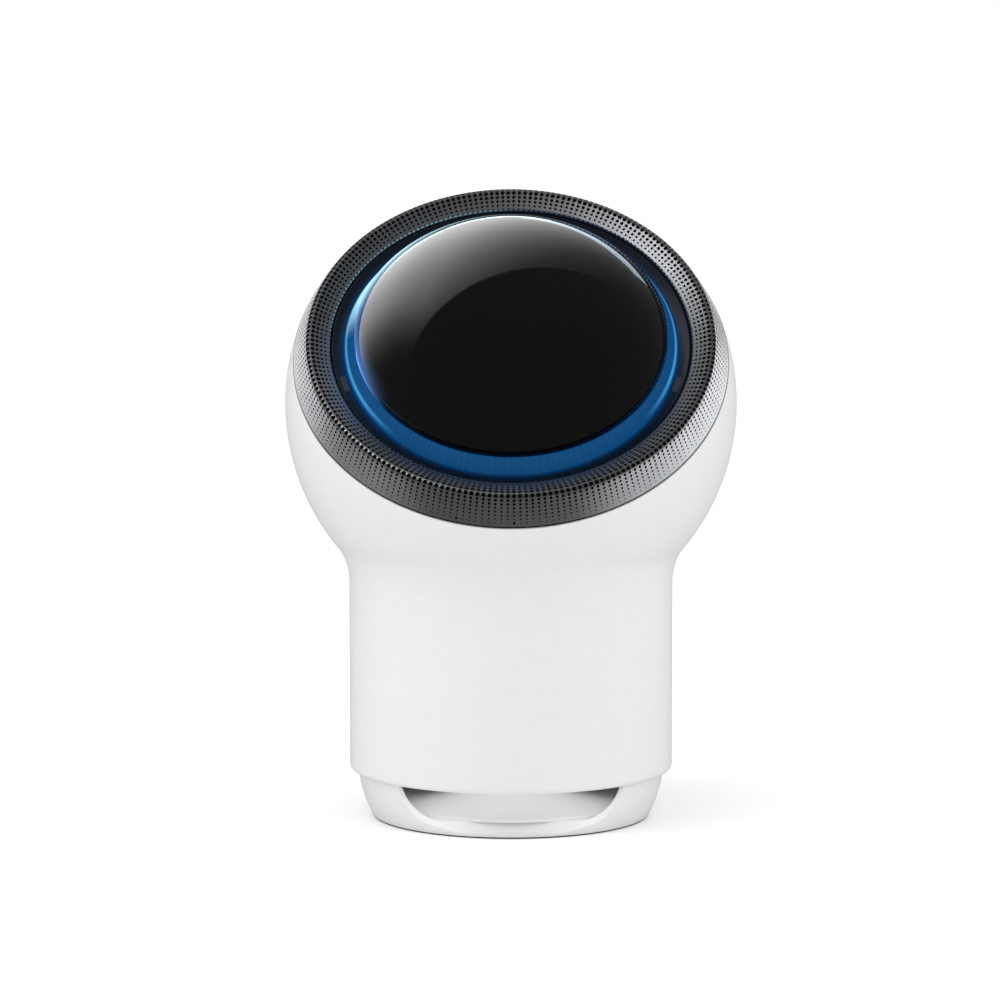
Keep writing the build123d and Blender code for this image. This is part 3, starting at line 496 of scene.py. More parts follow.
def dome_gloss():
    """Polished black acrylic with painted light: a glow in its foot, blue at the left and paler higher up,
    and a faint one high at the top.
    """
    material, shader = new_material("dome_gloss")
    haze = noise(material, 60, detail=3.0)
    right, up, rise = head_parts(material)
    # Painted glow, standing for the guide's light and the light caught at the rim: low on the dome, towards
    # the left.
    pale = ramp(material, towards(material, right, up, PALE_TURN), *PALE_SIDE)
    glow_rise = reckon(material, "MULTIPLY_ADD", pale, -PALE_LIFT, rise)
    fade = ramp(material, glow_rise, *GLOW_RISE, *FALLING, "LINEAR")
    left = ramp(material, towards(material, right, up, GLOW_TURN), *GLOW_SIDE)
    glow = reckon(material, "MULTIPLY", left, reckon(material, "POWER", fade, 2.0))
    # Painted rim light: a faint glow high on the dome, towards the top.
    back = ramp(material, towards(material, right, up, BACK_GLOW_TURN), *BACK_GLOW_SIDE)
    back_glow = reckon(material, "MULTIPLY", back, ramp(material, rise, *BACK_GLOW_RISE, *FALLING))
    faint = reckon(material, "MULTIPLY", back_glow, BACK_GLOW_STRENGTH)
    fill(material, shader, {
        "Base Color": tint(material, haze, (0.0004, 0.0005, 0.0006), (0.0007, 0.0008, 0.0010)),
        "Roughness": spread(material, haze, 0.03, 0.05),
        "Specular IOR Level": 0.5,
        "Emission Color": blend(material, pale, (0.16, 0.40, 1.0), (0.55, 0.90, 1.0)),
        "Emission Strength": reckon(material, "MULTIPLY_ADD", glow, GLOW_STRENGTH, faint),
    })
    return material


def lit_collar():
    """The blue light guide: fine streaks, with painted highlights in a line at both sides and a pale
    crescent, and painted shade at its outer edge.
    """
    material, shader = new_material("lit_collar")
    right, up, rise = head_parts(material)
    reach = head_reach(material, right, up)
    around = {"W": reckon(material, "ARCTAN2", up, right), "Scale": 60.0, "Detail": 2.0}
    streaks = add_node(material, "TexNoise", around, noise_dimensions="1D").outputs["Fac"]
    colour = tint(material, streaks, (0.0016, 0.036, 0.108), (0.0022, 0.042, 0.124))

    # Painted highlight: a bright line near the outer edge, at both sides.
    both_sides = reckon(material, "ABSOLUTE", towards(material, right, up, GLINT_LINE_TURN))
    line = ramp(material, both_sides, *GLINT_LINE_SIDE)
    for part in (ramp(material, reach, *GLINT_LINE_START), ramp(material, reach, *GLINT_LINE_END, *FALLING)):
        line = reckon(material, "MULTIPLY", line, part)
    # Painted highlight: a pale crescent at the upper left.
    upper_left = ramp(material, towards(material, right, up, GLINT_CRESCENT_TURN), *GLINT_CRESCENT_SIDE)
    crescent = reckon(material, "MULTIPLY", upper_left, ramp(material, rise, *GLINT_CRESCENT_RISE))
    colour = blend(material, line, colour, (0.03, 0.19, 0.40))
    # Painted shade: darker at the outer edge.
    colour = blend(material, ramp(material, reach, *SHADED_EDGE_REACH), colour, (0.001, 0.018, 0.06))
    colour = blend(material, crescent, colour, (0.36, 0.68, 0.82))
    fill(material, shader, {
        "Base Color": colour,
        "Emission Color": colour,
        "Emission Strength": ramp(material, rise, *LIT_RISE, 0.0, LIT_STRENGTH),
        "Specular IOR Level": 0.2,
        "Roughness": spread(material, streaks, 0.24, 0.32),
    })
    return material


def bezel_black():
    """Smooth near-black collar with a painted blue glow beside the light guide, for the guide's light falling
    on it.
    """
    tints = (0.0015, 0.0022, 0.004), (0.002, 0.0032, 0.006)
    material = grained("bezel_black", *tints, (0.30, 0.40), 3000, 0.003, specular=0.35)
    right, up, _ = head_parts(material)
    # Painted glow: the bezel gives off blue light, strongest next to the light guide and faintly everywhere.
    fade = ramp(material, head_reach(material, right, up), *BEZEL_GLOW_REACH, *FALLING, "LINEAR")
    glow = reckon(material, "POWER", fade, 2.0)
    fill(material, shader_of(material), {
        "Emission Color": (0.02, 0.28, 1.0, 1),
        "Emission Strength": reckon(material, "MULTIPLY_ADD", glow, BEZEL_GLOW_MORE, BEZEL_GLOW_LEAST),
    })
    return material


def window_clear():
    """Small smoky windows."""
    return grained("window_clear", (0.030, 0.034, 0.045), (0.038, 0.042, 0.056), (0.25, 0.35), 2500, 0.003)


def woven(name, colour, lighter, weave):
    """Plain-woven cloth; its weave is in radians per metre."""
    material, shader = new_material(name)
    waves = {"Vector": in_object(material), "Scale": weave / WAVE_RADIANS, "Distortion": 0.6}
    warp = add_node(material, "TexWave", waves, bands_direction="X").outputs["Fac"]
    weft = add_node(material, "TexWave", waves, bands_direction="Z").outputs["Fac"]
    threads = reckon(material, "MULTIPLY", warp, weft)
    fill(material, shader, {"Base Color": tint(material, threads, colour, lighter), "Roughness": 0.9})
    bump(material, shader, threads, strength=0.4, distance=0.05)
    return material


def inner_nodes(white):
    """Materials of the CAD nodes that show as they are."""
    zinc = grained("zinc", (0.55, 0.56, 0.58), (0.66, 0.67, 0.69), (0.28, 0.42), 2600, 0.004, metallic=1.0)
    black = grained("black_plastic", (0.018, 0.018, 0.02), (0.026, 0.026, 0.028), (0.5, 0.65), 3200, 0.01)
    ferrite = grained("ferrite", (0.05, 0.05, 0.055), (0.07, 0.07, 0.075), (0.55, 0.7), 2400, 0.02)
    copper = grained("copper", (0.62, 0.27, 0.12), (0.75, 0.36, 0.17), (0.25, 0.4), 3600, 0.02, metallic=1.0)
    paper = grained("cone_paper", grey(0.035), (0.055, 0.054, 0.052), (0.8, 0.95), 1800, 0.05)
    rubber = grained("rubber", grey(0.02), grey(0.03), (0.6, 0.75), 2600, 0.01)
    green = grained("board_green", (0.01, 0.09, 0.035), (0.015, 0.12, 0.05), (0.3, 0.45), 2600, 0.01)
    lamp_white = grained("lamp_white", (0.75, 0.8, 0.85), (0.85, 0.88, 0.92), (0.2, 0.3), 2600, 0.004)
    slip_white = grained("slip_white", (0.78, 0.78, 0.76), (0.85, 0.85, 0.83), (0.4, 0.5), 2600, 0.006)
    black_cloth = woven("black_cloth", (0.004, 0.004, 0.0045), (0.010, 0.010, 0.011), 3300)
    yellow_cloth = woven("yellow_cloth", (0.42, 0.30, 0.12), (0.60, 0.46, 0.22), 1600)
    finishes = (
        (white, ("baffle", "acoustic_deflector")),
        (zinc, ("base_plate", "yoke", "motor_plate", "shield_can", "microphones", "code_ring", "jack_pin")),
        (zinc, ("base_screws", "baffle_screws", "driver_screws", "board_screws", "chassis_screws")),
        (black, ("driver_frame", "head_chassis", "ring_carrier", "dome_carrier")),
        (black, ("dc_jack", "capacitors", "encoder_sensor", "tact_switch")),
        (ferrite, ("magnet",)),
        (copper, ("voice_coil",)),
        (paper, ("speaker_cone", "dust_cap")),
        (rubber, ("surround", "driver_gasket")),
        (green, ("main_board", "head_board")),
        (lamp_white, ("leds",)),
        (slip_white, ("flat_cable", "switch_plunger", "glide_ring", "guide_bushes")),
        (black_cloth, ("acoustic_mesh",)),
        (yellow_cloth, ("spider",)),
    )
    for material, nodes in finishes:
        for node in nodes:
            mesh = frame["nodes"][node].data
            mesh.materials.clear()
            mesh.materials.append(material)


# ---------------------------------------------------------------- white body
def shell_section(wall, corner_drop, ball_steps, neck_steps):
    """Half section from the ball's top down to the neck's lower end, inside the surface by a wall."""
    corner = math.sqrt(HEAD_RADIUS**2 - NECK_CORNER_DROP**2)
    neck_radius = BODY_RADIUS + NECK_ARC_RADIUS
    neck_drop = NECK_CORNER_DROP + math.sqrt(NECK_ARC_RADIUS**2 - (neck_radius - corner) ** 2)
    ball_radius = HEAD_RADIUS - wall
    corner = math.sqrt(ball_radius**2 - corner_drop**2)
    low = -math.degrees(math.asin(corner_drop / ball_radius))
    start = math.degrees(math.atan2(neck_drop - corner_drop, corner - neck_radius))
    ball = arc((0, head_middle.z), ball_radius, 90, low, ball_steps)
    neck = arc((neck_radius, head_middle.z - neck_drop), NECK_ARC_RADIUS + wall, start, 180, neck_steps)
    return ball[:-1] + neck


def body_outline():
    """The white body's closed half section: outside from the top down, then inside back up."""
    outside = shell_section(0.0, NECK_CORNER_DROP, ball_steps=150, neck_steps=24)
    rim_middle = (BODY_RADIUS - BODY_RIM_ROUND, BODY_BOTTOM + BODY_RIM_ROUND)
    neck_end, bands = outside[-1][1], 12
    column = [(BODY_RADIUS, neck_end + (rim_middle[1] - neck_end) * step / bands) for step in range(1, bands)]
    rim = arc(rim_middle, BODY_RIM_ROUND, 0, -90, steps=10)
    inside = shell_section(WALL, INNER_CORNER_DROP, ball_steps=120, neck_steps=16)
    return outside + column + rim + [(BODY_RADIUS - WALL, BODY_BOTTOM)] + inside[::-1]


def white_body(material):
    """The front moulding and the rear cover, cut from one turned shell."""
    shell = revolved("body_shell", body_outline())
    cut(shell, block_beyond("ring_side", head_middle + head_axis * SEAM_RISE, head_axis))
    rear = linked("rear", shell.data.copy())
    cut(shell, rear_space(0.0))
    cut_jack_room(shell)
    cut(rear, rear_space(PARTING_GAP), "INTERSECT")
    pieces = ((shell, "front_shell", "front_housing"), (rear, "rear_shell", "rear_housing"))
    for piece, name, node in pieces:
        piece.name = name
        piece.data.name = name
        soften(piece, SHELL_EDGE)
        finish_piece(piece, material, "white_body", "base", node)


def rear_space(offset):
    """The space of the rear cover: behind the leaning plane and above the neck's corner."""
    space = block_beyond("rear_space", (0, PARTING_OFFSET + offset, head_middle.z), (0, 1, -PARTING_LEAN))
    corner = (0, 0, head_middle.z - NECK_CORNER_DROP + offset)
    cut(space, block_beyond("above", corner, (0, 0, 1)), "INTERSECT")
    return space


def cut_jack_room(shell):
    """The round hole for the power plug at the back and the pocket for its socket inside."""
    height = (jack_low.z + jack_high.z) / 2 / MM
    backwards = Matrix.Translation((0, 0, height)) @ Matrix.Rotation(-math.pi / 2, 4, "X")
    start, end = JACK_CUT_START, JACK_CUT_END
    outline = [(0, start), (JACK_HOLE, start), (JACK_HOLE, end), (0, end)]
    cut(shell, revolved("jack_hole", outline, backwards, steps=64))
    back = BODY_RADIUS - JACK_COVER + JACK_FIT / 2
    width = (jack_high.x - jack_low.x) / MM + 2 * JACK_FIT
    rise = (jack_high.z - jack_low.z) / MM + 2 * JACK_FIT
    place = Matrix.Translation((0, back - BODY_RADIUS / 2, height))
    cut(shell, block("jack_room", place @ Matrix.Diagonal((width, BODY_RADIUS, rise, 1))))


# ---------------------------------------------------------------- foot and pad
def circle_through(first, second, third):
    """Middle and radius of the circle through three points."""
    (ax, ay), (bx, by), (cx, cy) = first, second, third
    twice = 2 * (ax * (by - cy) + bx * (cy - ay) + cx * (ay - by))
    a2, b2, c2 = ax * ax + ay * ay, bx * bx + by * by, cx * cx + cy * cy
    x = (a2 * (by - cy) + b2 * (cy - ay) + c2 * (ay - by)) / twice
    y = (a2 * (cx - bx) + b2 * (ax - cx) + c2 * (bx - ax)) / twice
    return (x, y), math.hypot(ax - x, ay - y)


def side_radius(height):
    """Radius of the foot's bulging side at a height, held between its two ends."""
    low, high = (FOOT_BOTTOM_RADIUS, FOOT_BOTTOM), (FOOT_TOP_RADIUS, FOOT_SIDE_TOP)
    (x, y), radius = circle_through(low, FOOT_SIDE_MIDDLE, high)
    height = min(max(height, FOOT_BOTTOM), FOOT_SIDE_TOP)
    return x + math.sqrt(radius**2 - (height - y) ** 2)


def foot(material):
    """The foot with its floor, and the front slot cut with a widening lip."""
    steps = 16
    heights = [FOOT_BOTTOM + (FOOT_SIDE_TOP - FOOT_BOTTOM) * step / steps for step in range(steps + 1)]
    side = [(side_radius(height), height) for height in heights]
    inside = [
        (FOOT_TOP_RADIUS, FOOT_TOP),
        (FOOT_TOP_RADIUS - FOOT_WALL, FOOT_TOP),
        (FOOT_TOP_RADIUS - FOOT_WALL, FOOT_SIDE_TOP),
        (FOOT_BOTTOM_RADIUS - FOOT_WALL + FOOT_WALL_THINNING, FOOT_FLOOR),
        (0, FOOT_FLOOR),
        (0, FOOT_BOTTOM),
    ]
    shell = revolved("foot", side + inside)
    cut(shell, slot_tool())
    soften(shell, FOOT_EDGE, angle=25.0, segments=3)
    finish_piece(shell, material, "foot_white", "base", "foot_shell")


def slot_outline(steps=40):
    """The slot's lower outline as (x, height, outward x, outward height)."""
    middle = FOOT_FLOOR + SLOT_CORNER
    reach = SLOT_HALF_WIDTH - SLOT_CORNER
    lean = math.degrees(math.asin((middle - SLOT_TOP) / SLOT_CORNER))
    outline = []
    for sign, start, end in ((-1, 180 + lean, 270), (1, 270, 360 - lean)):
        for out in arc((0, 0), 1.0, start, end, steps):
            outline.append((sign * reach + SLOT_CORNER * out[0], middle + SLOT_CORNER * out[1], *out))
    return outline


def slot_tool():
    """The slot's cutter: straight from inside, then widening through the wall to make the lip."""
    rows = [[], [], [], []]
    outline = slot_outline()
    for x, height, out_x, out_z in outline:
        grow = SLOT_LIP_SIDE + (SLOT_LIP_LOW - SLOT_LIP_SIDE) * out_z**2
        outside = side_radius(height)
        start = Vector((x, -math.sqrt((outside - SLOT_LIP_DEPTH) ** 2 - x**2), height))
        edge = Vector((x + out_x * grow, -math.sqrt(outside**2 - x**2), height + out_z * grow))
        run = edge - start
        rows[0].append((x, SLOT_TOOL_BACK, height))
        rows[1].append(start)
        rows[2].append(edge)
        rows[3].append(edge + run * (SLOT_TOOL_FRONT - edge.y) / run.y)
    points = [point for row in rows for point in row]
    count = len(outline)
    faces = []
    for low in (0, count, 2 * count):
        high = low + count
        for step in range(count):
            after = (step + 1) % count
            faces.append((low + step, low + after, high + after, high + step))
    faces.append(tuple(range(count)))
    faces.append(tuple(range(3 * count, 4 * count)))
    return closed_piece("slot_tool", points, faces)


def pad(material):
    """The pad under the foot, narrower where it rests."""
    outline = [(0, 0), (FOOT_BOTTOM_RADIUS - PAD_BEVEL, 0), (FOOT_BOTTOM_RADIUS, PAD_TOP), (0, PAD_TOP)]
    piece = revolved("foot_pad", rounded(outline, {1: PAD_EDGE}, steps=3))
    finish_piece(piece, material, "foot_rubber", "base", "rubber_pad")


# ---------------------------------------------------------------- ring
class Line:
    """A polyline that gives the point and normal at a run length."""

    def __init__(self, points):
        self.points = [Vector(point) for point in points]
        self.runs = [0.0]
        for first, second in zip(self.points, self.points[1:]):
            self.runs.append(self.runs[-1] + (second - first).length)

    def at(self, run):
        """Point at a run length."""
        run = min(max(run, 0.0), self.runs[-1])
        index = 0
        while index < len(self.runs) - 2 and self.runs[index + 1] < run:
            index += 1
        share = (run - self.runs[index]) / (self.runs[index + 1] - self.runs[index])
        return self.points[index].lerp(self.points[index + 1], share)

    def normal(self, run, reach=0.25):
        """Outward normal, averaged over a short stretch."""
        step = self.at(run + reach) - self.at(run - reach)
        return Vector((step.y, -step.x)).normalized()

    def crest(self):
        """Run length at the highest point."""
        best = max(range(len(self.points)), key=lambda index: self.points[index].y)
        return self.runs[best]


def ring_line():
    """The ring's outer line from rim to inner lip."""
    corners = [
        (RIM_RADIUS, RIM_RISE),
        (CREST_RADIUS, CREST_RISE),
        (INNER_RADIUS, INNER_RISE),
        (INNER_RADIUS, INNER_RISE - LIP_DEPTH),
    ]
    return Line(rounded(corners, {1: CREST_ROUND, 2: LIP_ROUND}, steps=10))


def hole_rows(crest):
    """The rows of holes as (run length, hole diameter), from rim to inner edge."""
    sides = (
        (-1, FLANK_HOLES, FLANK_PITCH, FLANK_CLEARANCE),
        (1, INNER_HOLES, INNER_PITCH, INNER_CLEARANCE),
    )
    rows = []
    for sign, sizes, pitch, clearance in sides:
        for index, size in enumerate(sizes):
            away = CREST_PITCH + (clearance if index else 0.0) + index * pitch
            rows.append((crest + sign * away, size))
    return sorted(rows)


class Grid:
    """One perforated surface of the ring: columns round the axis by levels along its line.

    Each row of holes has a level at its two edges and one through its middle. Each column of holes takes
    two steps round the axis.
    """

    def __init__(self, line, rows, offset):
        self.line = line
        self.rows = rows
        self.offset = offset
        self.edges = [rows[0][0] - FLANK_PITCH / 2]
        self.edges += [(first[0] + second[0]) / 2 for first, second in zip(rows, rows[1:])]
        self.edges.append(rows[-1][0] + INNER_PITCH / 2)
        lip_steps = 6
        lip = (line.runs[-1] - self.edges[-1]) / lip_steps
        self.before = [0.0, self.edges[0] / 2]
        self.after = [self.edges[-1] + lip * step for step in range(1, lip_steps + 1)]
        self.index = {}
        self.rims = {}

    def place(self, run, turn):
        """Point at a run length and a turn round the axis."""
        flat = self.line.at(run) + self.line.normal(run) * self.offset
        return flat.x * math.cos(turn), flat.x * math.sin(turn), flat.y

    def point(self, points, key, run, column):
        """Index of the point at a level's key and a step round the axis, made when first asked for."""
        column = column % (2 * COLUMNS)
        if (key, column) not in self.index:
            self.index[(key, column)] = len(points)
            points.append(self.place(run, TURN * column / (2 * COLUMNS)))
        return self.index[(key, column)]

    def add(self, points, faces, flipped):
        """Adds the plain bands and the cells with their holes."""
        self.band(points, faces, self.before + self.edges[:1], "before", flipped)
        self.band(points, faces, self.edges[-1:] + self.after, "after", flipped)
        microphones = {int(turn / 360 * COLUMNS) % COLUMNS for turn in MICROPHONE_TURNS}
        for row, (run, size) in enumerate(self.rows):
            low = (("edge", row), self.edges[row])
            high = (("edge", row + 1), self.edges[row + 1])
            through = (("middle", row), run)
            corners = [(low, -1), (low, 0), (low, 1), (through, 1)]
            corners += [(high, 1), (high, 0), (high, -1), (through, -1)]
            for column in range(COLUMNS):
                middle = 2 * column + 1
                cell = [self.point(points, *level, middle + side) for level, side in corners]
                width = MICROPHONE_HOLE if row == 0 and column in microphones else size
                hole = self.hole(points, run, middle, width / 2)
                self.rims[(row, column)] = hole
                for corner in range(8):
                    after = (corner + 1) % 8
                    face = (cell[corner], cell[after], hole[after], hole[corner])
                    faces.append(face[::-1] if flipped else face)

    def hole(self, points, run, middle, radius):
        """Adds the eight points of a hole, which start at the corner where its cell does."""
        rim = []
        for corner in range(8):
            turn = math.radians(-135 + 45 * corner)
            across, along = radius * math.cos(turn), radius * math.sin(turn)
            rim.append(len(points))
            round_axis = TURN * middle / (2 * COLUMNS) + across / self.line.at(run).x
            points.append(self.place(run + along, round_axis))
        return rim

    def band(self, points, faces, runs, name, flipped):
        """A band without holes, whose last or first level is shared with the cells."""
        keys = [(name, level) for level in range(len(runs))]
        if name == "before":
            keys[-1] = ("edge", 0)
        else:
            keys[0] = ("edge", len(self.edges) - 1)
        levels = list(zip(keys, runs))
        for low, high in zip(levels, levels[1:]):
            for column in range(2 * COLUMNS):
                corners = ((low, 0), (low, 1), (high, 1), (high, 0))
                face = tuple(self.point(points, *level, column + side) for level, side in corners)
                faces.append(face[::-1] if flipped else face)

    def join(self, other, faces):
        """Adds the walls of the holes and of the two open edges."""
        for key, hole in self.rims.items():
            back = other.rims[key]
            for corner in range(8):
                after = (corner + 1) % 8
                faces.append((hole[corner], hole[after], back[after], back[corner]))
        for key in (("before", 0), ("after", len(self.after))):
            for column in range(2 * COLUMNS):
                here, after = (key, column), (key, (column + 1) % (2 * COLUMNS))
                faces.append((self.index[here], self.index[after], other.index[after], other.index[here]))


def perforated_ring(material):
    """The pressed metal ring with every hole, as one closed skin."""
    line = ring_line()
    rows = hole_rows(line.crest())
    points = []
    faces = []
    outer = Grid(line, rows, 0.0)
    inner = Grid(line, rows, -RING_SKIN)
    outer.add(points, faces, False)
    inner.add(points, faces, True)
    outer.join(inner, faces)
    piece = closed_piece("perforated_ring", points, faces, HEAD, sharp_degrees=40.0)
    finish_piece(piece, material, "ring_metal", "ring", "volume_ring")


# ---------------------------------------------------------------- inside the ring
def bezel(material):
    """The dark collar between the ring and the light guide."""
    outline = [
        (BEZEL_BORE, BEZEL_BOTTOM),
        (BEZEL_OUTER, BEZEL_BOTTOM),
        (BEZEL_OUTER, BEZEL_TOP),
        (BEZEL_BORE, COLLAR_SHOULDER),
    ]
    piece = revolved("bezel_collar", rounded(outline, {2: BEZEL_ROUND}), HEAD)
    finish_piece(piece, material, "bezel_dark", "base", "bezel")


def light_guide(material):
    """The lit collar round the dome."""
    outline = [
        (COLLAR_BORE, COLLAR_BOTTOM),
        (COLLAR_OUTER, COLLAR_BOTTOM),
        (COLLAR_OUTER, COLLAR_SHOULDER),
        (COLLAR_BORE + COLLAR_TOP_WIDTH, COLLAR_TOP),
        (COLLAR_BORE, COLLAR_TOP),
    ]
    rounds = {2: COLLAR_SHOULDER_ROUND, 3: COLLAR_TOP_ROUND}
    piece = revolved("lit_collar", rounded(outline, rounds), HEAD)
    finish_piece(piece, material, "blue_light", "base", "light_guide")


def crown(equator, height, base, steps):
    """A quarter ellipse from the dome's base radius up to its pole, as (radius, height)."""
    start = math.acos(base / equator)
    turns = [start + (math.pi / 2 - start) * step / steps for step in range(steps)]
    line = [(equator * math.cos(turn), DOME_RISE + height * math.sin(turn)) for turn in turns]
    return line + [(0, DOME_RISE + height)]


def dome(material):
    """The dome: skirt, ellipse with a fuller shoulder up to the pole, and back along the inside."""
    outline = [(DOME_BASE, DOME_SKIRT)]
    for radius, height in crown(DOME_EQUATOR, DOME_CROWN, DOME_BASE, steps=90)[:-1]:
        share = min(max((height - SHOULDER_LOW) / (SHOULDER_HIGH - SHOULDER_LOW), 0.0), 1.0)
        fuller = DOME_SHOULDER * (1 - share * share * (3 - 2 * share))
        outline.append((min(radius + fuller, DOME_WIDEST), height))
    outline.append((0, DOME_RISE + DOME_CROWN))
    base = DOME_BASE - DOME_WALL
    outline += crown(DOME_EQUATOR - DOME_WALL, DOME_CROWN - DOME_WALL, base, steps=40)[::-1]
    outline.append((base, DOME_SKIRT))
    piece = revolved("gloss_dome", outline, HEAD)
    finish_piece(piece, material, "dome_gloss", "dome_unit", "dome")


def windows(material):
    """The two small windows of the bezel, as blocks with rounded edges."""
    for name, turn in (("window_right", -WINDOW_TURN), ("window_left", 180 + WINDOW_TURN)):
        place = HEAD @ Matrix.Rotation(math.radians(turn), 4, "Z")
        place = place @ Matrix.Translation((WINDOW_RADIUS, 0, WINDOW_RISE))
        piece = block(name, place @ Matrix.Diagonal((*WINDOW_SIZE, 1)))
        soften(piece, WINDOW_EDGE)
        finish_piece(piece, material, "clear_window", "base", "sensor_windows")


# ---------------------------------------------------------------- stage and lights, in metres
FLOOR_HALF = 6.0
# Painted light on the floor: the reach over which its glow grows, and the glow near and far.
FLOOR_FADE = (0.045, 0.18)
FLOOR_GLOW = (0.09, 0.34)
WORLD_DIFFUSE = 0.86
WORLD_GLOSSY = 0.13
LAMP_DISTANCE = 1.2
PANEL_SIDE = 6.0
PANEL_STRENGTH = 2.2
MATT_LAMPS = (  # name, place, size and power
    ("left_softbox", (-0.9, -0.35, 0.45), (0.7, 1.1), 2.0),
    ("right_softbox", (0.9, -0.25, 0.40), (0.7, 1.1), 2.3),
    ("top_softbox", (-0.35, -0.25, 0.95), (0.9, 0.6), 2.0),
    ("rear_softbox", (0.8, 0.75, 0.30), (0.7, 0.9), 1.2),
)
RING_LAMPS = (  # name, azimuth and elevation of its heading, size and radiance
    ("right_backdrop", 64, 0, (1.25, 1.15), 2.4),
    ("left_backdrop", -50, -2, (1.1, 1.05), 1.9),
    ("rear_backdrop", 0, 4, (0.9, 0.5), 2.6),
    ("right_front", 107, -24, (0.75, 0.8), 1.5),
    ("left_front", -106, -22, (0.7, 0.7), 0.6),
    ("front_fill", 180, -35, (1.2, 0.8), 0.10),
    ("upper_softbox", -131, 48, (0.5, 0.55), 4.3),
    ("back_softbox", 19, 49, (0.45, 0.4), 1.6),
)
SHADOWERS = ("front_shell", "rear_shell", "perforated_ring", "bezel_collar", "gloss_dome", "ring_carrier")


def stage():
    """A pale floor that brightens to the camera away from the speaker, as far as the white surroundings; the
    brightening is painted light, weaker near the speaker, so the floor is darker round it.
    """
    mesh = bpy.data.meshes.new("floor")
    half = FLOOR_HALF
    corners = [(-half, -half, 0), (half, -half, 0), (half, half, 0), (-half, half, 0)]
    mesh.from_pydata(corners, [], [(0, 1, 2, 3)])
    floor = linked("floor", mesh)
    material = grained("floor_white", grey(0.90), grey(0.91), (0.8, 0.9), 300, 0.02, specular=0.0)
    reach = reckon_vector(material, "LENGTH", in_object(material))
    # Painted light: the floor's glow grows from the speaker outwards, so it is darker near the speaker.
    lift = ramp(material, reach, *FLOOR_FADE, *FLOOR_GLOW)
    seen = add_node(material, "LightPath").outputs["Is Camera Ray"]
    fill(material, shader_of(material), {
        "Emission Color": (1, 1, 1, 1),
        "Emission Strength": reckon(material, "MULTIPLY", lift, seen),
    })
    mesh.materials.append(material)
    floor.visible_glossy = False


def surroundings():
    """White to the camera, bright to matt surfaces and dark to glossy ones."""
    world = bpy.data.worlds.new("studio")
    bpy.context.scene.world = world
    world.use_nodes = True
    path = add_node(world, "LightPath")
    lighting = ramp(world, path.outputs["Is Glossy Ray"], 0.0, 1.0, WORLD_DIFFUSE, WORLD_GLOSSY, "LINEAR")
    strength = add_node(world, "Mix", {"Factor": path.outputs["Is Camera Ray"], "A": lighting, "B": 1.0})
    inputs = {"Color": (1, 1, 1, 1), "Strength": strength.outputs["Result"]}
    fill(world, world.node_tree.nodes["Background"], inputs)


def heading(azimuth, elevation):
    """A direction: azimuth in degrees from straight back towards the right, and elevation."""
    turn, lift = math.radians(azimuth), math.radians(elevation)
    return Vector((math.sin(turn) * math.cos(lift), math.cos(turn) * math.cos(lift), math.sin(lift)))


def area_light(name, place, target, size, power, colour=(1, 1, 1)):
    """A soft rectangular lamp aimed at a point."""
    lamp = bpy.data.lights.new(name, "AREA")
    lamp.shape = "RECTANGLE"
    lamp.size, lamp.size_y = size
    lamp.energy = power
    lamp.color = colour
    light = linked(name, lamp)
    light.location = place
    light.rotation_euler = (target - Vector(place)).to_track_quat("-Z", "Y").to_euler()
    light.visible_camera = False
    return light


def matt_lights():
    """Large soft lamps at both sides, above and behind on the right, which only light matt surfaces."""
    for name, place, size, power in MATT_LAMPS:
        area_light(name, place, head_middle * MM, size, power).visible_glossy = False


def mirror_light(name, way, size, radiance, pieces, colour=(1, 1, 1), through=()):
    """A lamp seen only in the reflections of the given pieces, and shadowed only by the speaker itself."""
    middle = head_middle * MM
    power = radiance * math.pi * size[0] * size[1]
    lamp = area_light(name, middle + way * LAMP_DISTANCE, middle, size, power, colour)
    lamp.visible_diffuse = False
    receivers = bpy.data.collections.new(name)
    for piece in pieces:
        receivers.objects.link(bpy.data.objects[piece])
    lamp.light_linking.receiver_collection = receivers
    blockers = bpy.data.collections.new(name + "_shadows")
    for piece in SHADOWERS:
        if piece not in through:
            blockers.objects.link(bpy.data.objects.get(piece) or frame["nodes"][piece])
    lamp.light_linking.blocker_collection = blockers
    return lamp


def ring_lights():
    """Bright backdrops and softboxes all round, as the metal ring sees them."""
    ring = ["perforated_ring"]
    for name, azimuth, elevation, size, radiance in RING_LAMPS:
        mirror_light(name, heading(azimuth, elevation), size, radiance, ring)
    mirror_light("back_fill", heading(0, 48), (1.3, 0.8), 0.34, ring, through=("gloss_dome",))


def rim_lights():
    """Cool light from straight behind, which only shows in the dome's farthest rim."""
    dome_only = ["gloss_dome"]
    mirror_light("rim_left", heading(-14, 8), (0.8, 0.6), 3.2, dome_only, (0.65, 0.9, 1.0))
    mirror_light("rim_right", heading(17, 14), (0.6, 0.55), 1.7, dome_only, (0.62, 0.85, 1.0))


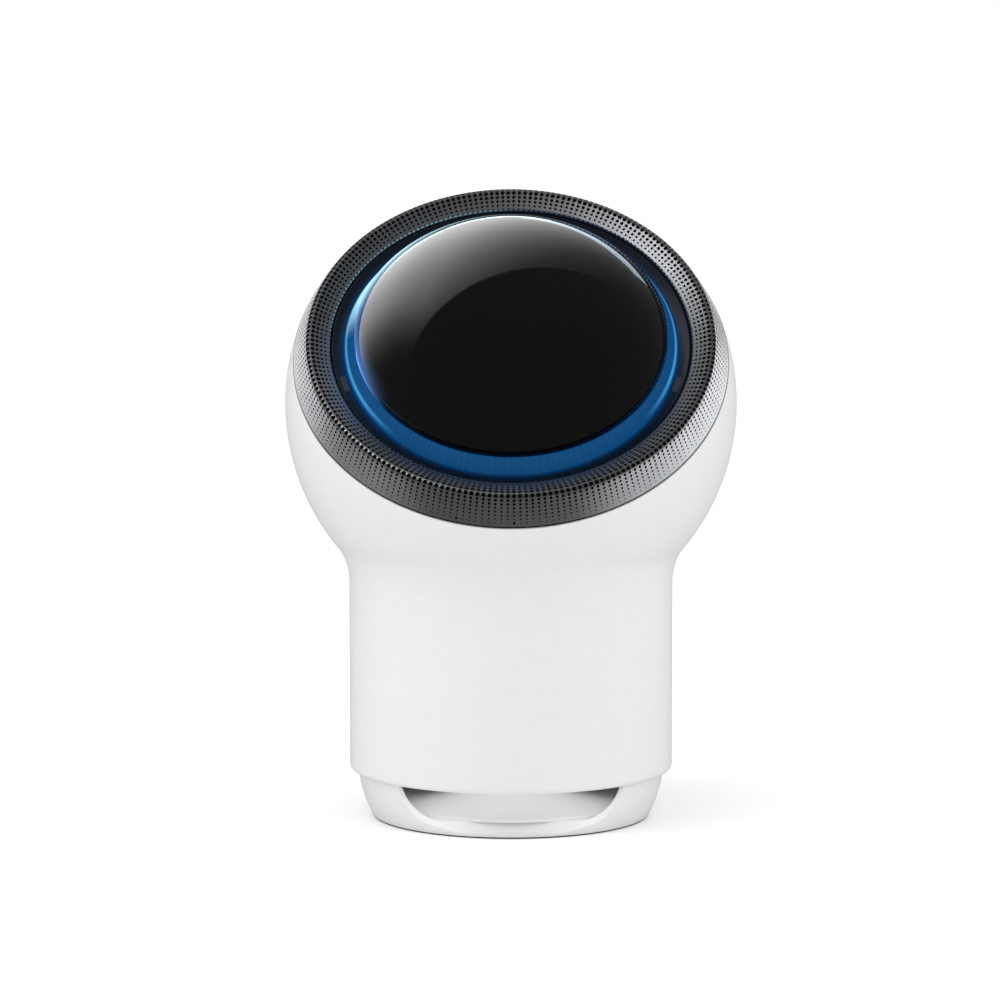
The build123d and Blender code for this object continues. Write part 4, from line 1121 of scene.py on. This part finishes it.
def dome_panel():
    """The huge overhead panel that the dome mirrors: brightest behind on the left, with one clean edge."""
    middle = heading(-30, 40)
    light = mirror_light("dome_panel", middle, (PANEL_SIDE, PANEL_SIDE), 1.0, ["gloss_dome", "bezel_collar"])
    panel = light.data
    panel.use_nodes = True
    across = add_node(panel, "NewGeometry").outputs["Parametric"]
    shares = add_node(panel, "SeparateXYZ", {"Vector": across}).outputs
    reach = PANEL_SIDE / LAMP_DISTANCE
    way = middle
    for axis, share in ((Vector((1, 0, 0)), shares["X"]), (Vector((0, 1, 0)), shares["Y"])):
        axis.rotate(light.rotation_euler)
        step = reckon(panel, "MULTIPLY_ADD", share, reach, -reach / 2)
        way = reckon_vector(panel, "ADD", reckon_vector(panel, "MULTIPLY", axis, step), way)
    way = reckon_vector(panel, "NORMALIZE", way)

    def mask(azimuth, elevation, low, high, kind="SMOOTHSTEP"):
        """1 well towards a heading and 0 away from it; low and high are cosines."""
        cosine = reckon_vector(panel, "DOT_PRODUCT", way, heading(azimuth, elevation))
        return ramp(panel, cosine, low, high, kind=kind)

    upper_left = reckon(panel, "POWER", mask(-38, 42, 0.3, 1.0, "LINEAR"), 2.0)
    clean_edge = mask(-23.4, -2.5, -0.015, 0.015)
    dark_low_left = reckon(panel, "SUBTRACT", 1.0, mask(-112, 0, 0.5, 1.0))
    left_side = reckon(panel, "ADD", mask(-60, 0, -0.06, 0.5, "LINEAR"), 0.4)
    strength = PANEL_STRENGTH
    for share in (upper_left, clean_edge, dark_low_left, left_side):
        strength = reckon(panel, "MULTIPLY", share, strength)
    fill(panel, panel.node_tree.nodes["Emission"], {"Strength": strength})


def slot_light():
    """A faint lamp under the body's lower rim that stands for the light scattered inside the white foot."""
    forward, drop = 22.5, 0.3
    size, power = (0.056, 0.032), 0.0052
    place = Vector((0, -forward, BODY_BOTTOM - drop)) * MM
    area_light("slot_light", place, place - Vector((0, 0, 1)), size, power).visible_glossy = False


def camera():
    """A long lens a little above the head's middle, at the photo's viewing angle."""
    distance = 1.075
    lift = math.radians(4.7)
    down = math.radians(1.3975)
    pan = math.radians(0.1585)
    lens = bpy.data.cameras.new("camera")
    lens.lens = 143.1
    lens.sensor_width = 36.0
    lens.clip_end = 50.0
    view = linked("camera", lens)
    view.location = head_middle * MM + distance * Vector((0, -math.cos(lift), math.sin(lift)))
    view.rotation_euler = (math.pi / 2 - lift - down, 0, pan)
    bpy.context.scene.camera = view


# ---------------------------------------------------------------- the speaker and its scene
white = white_plastic()
white_body(white)
foot(white)
pad(pad_sole_and_shadow())
perforated_ring(ring_paint())
bezel(bezel_black())
light_guide(lit_collar())
dome(dome_gloss())
windows(window_clear())
inner_nodes(white)
stage()
surroundings()
matt_lights()
ring_lights()
rim_lights()
dome_panel()
slot_light()
camera()
bpy.context.scene.view_settings.view_transform = "Standard"
bpy.context.view_layer.update()
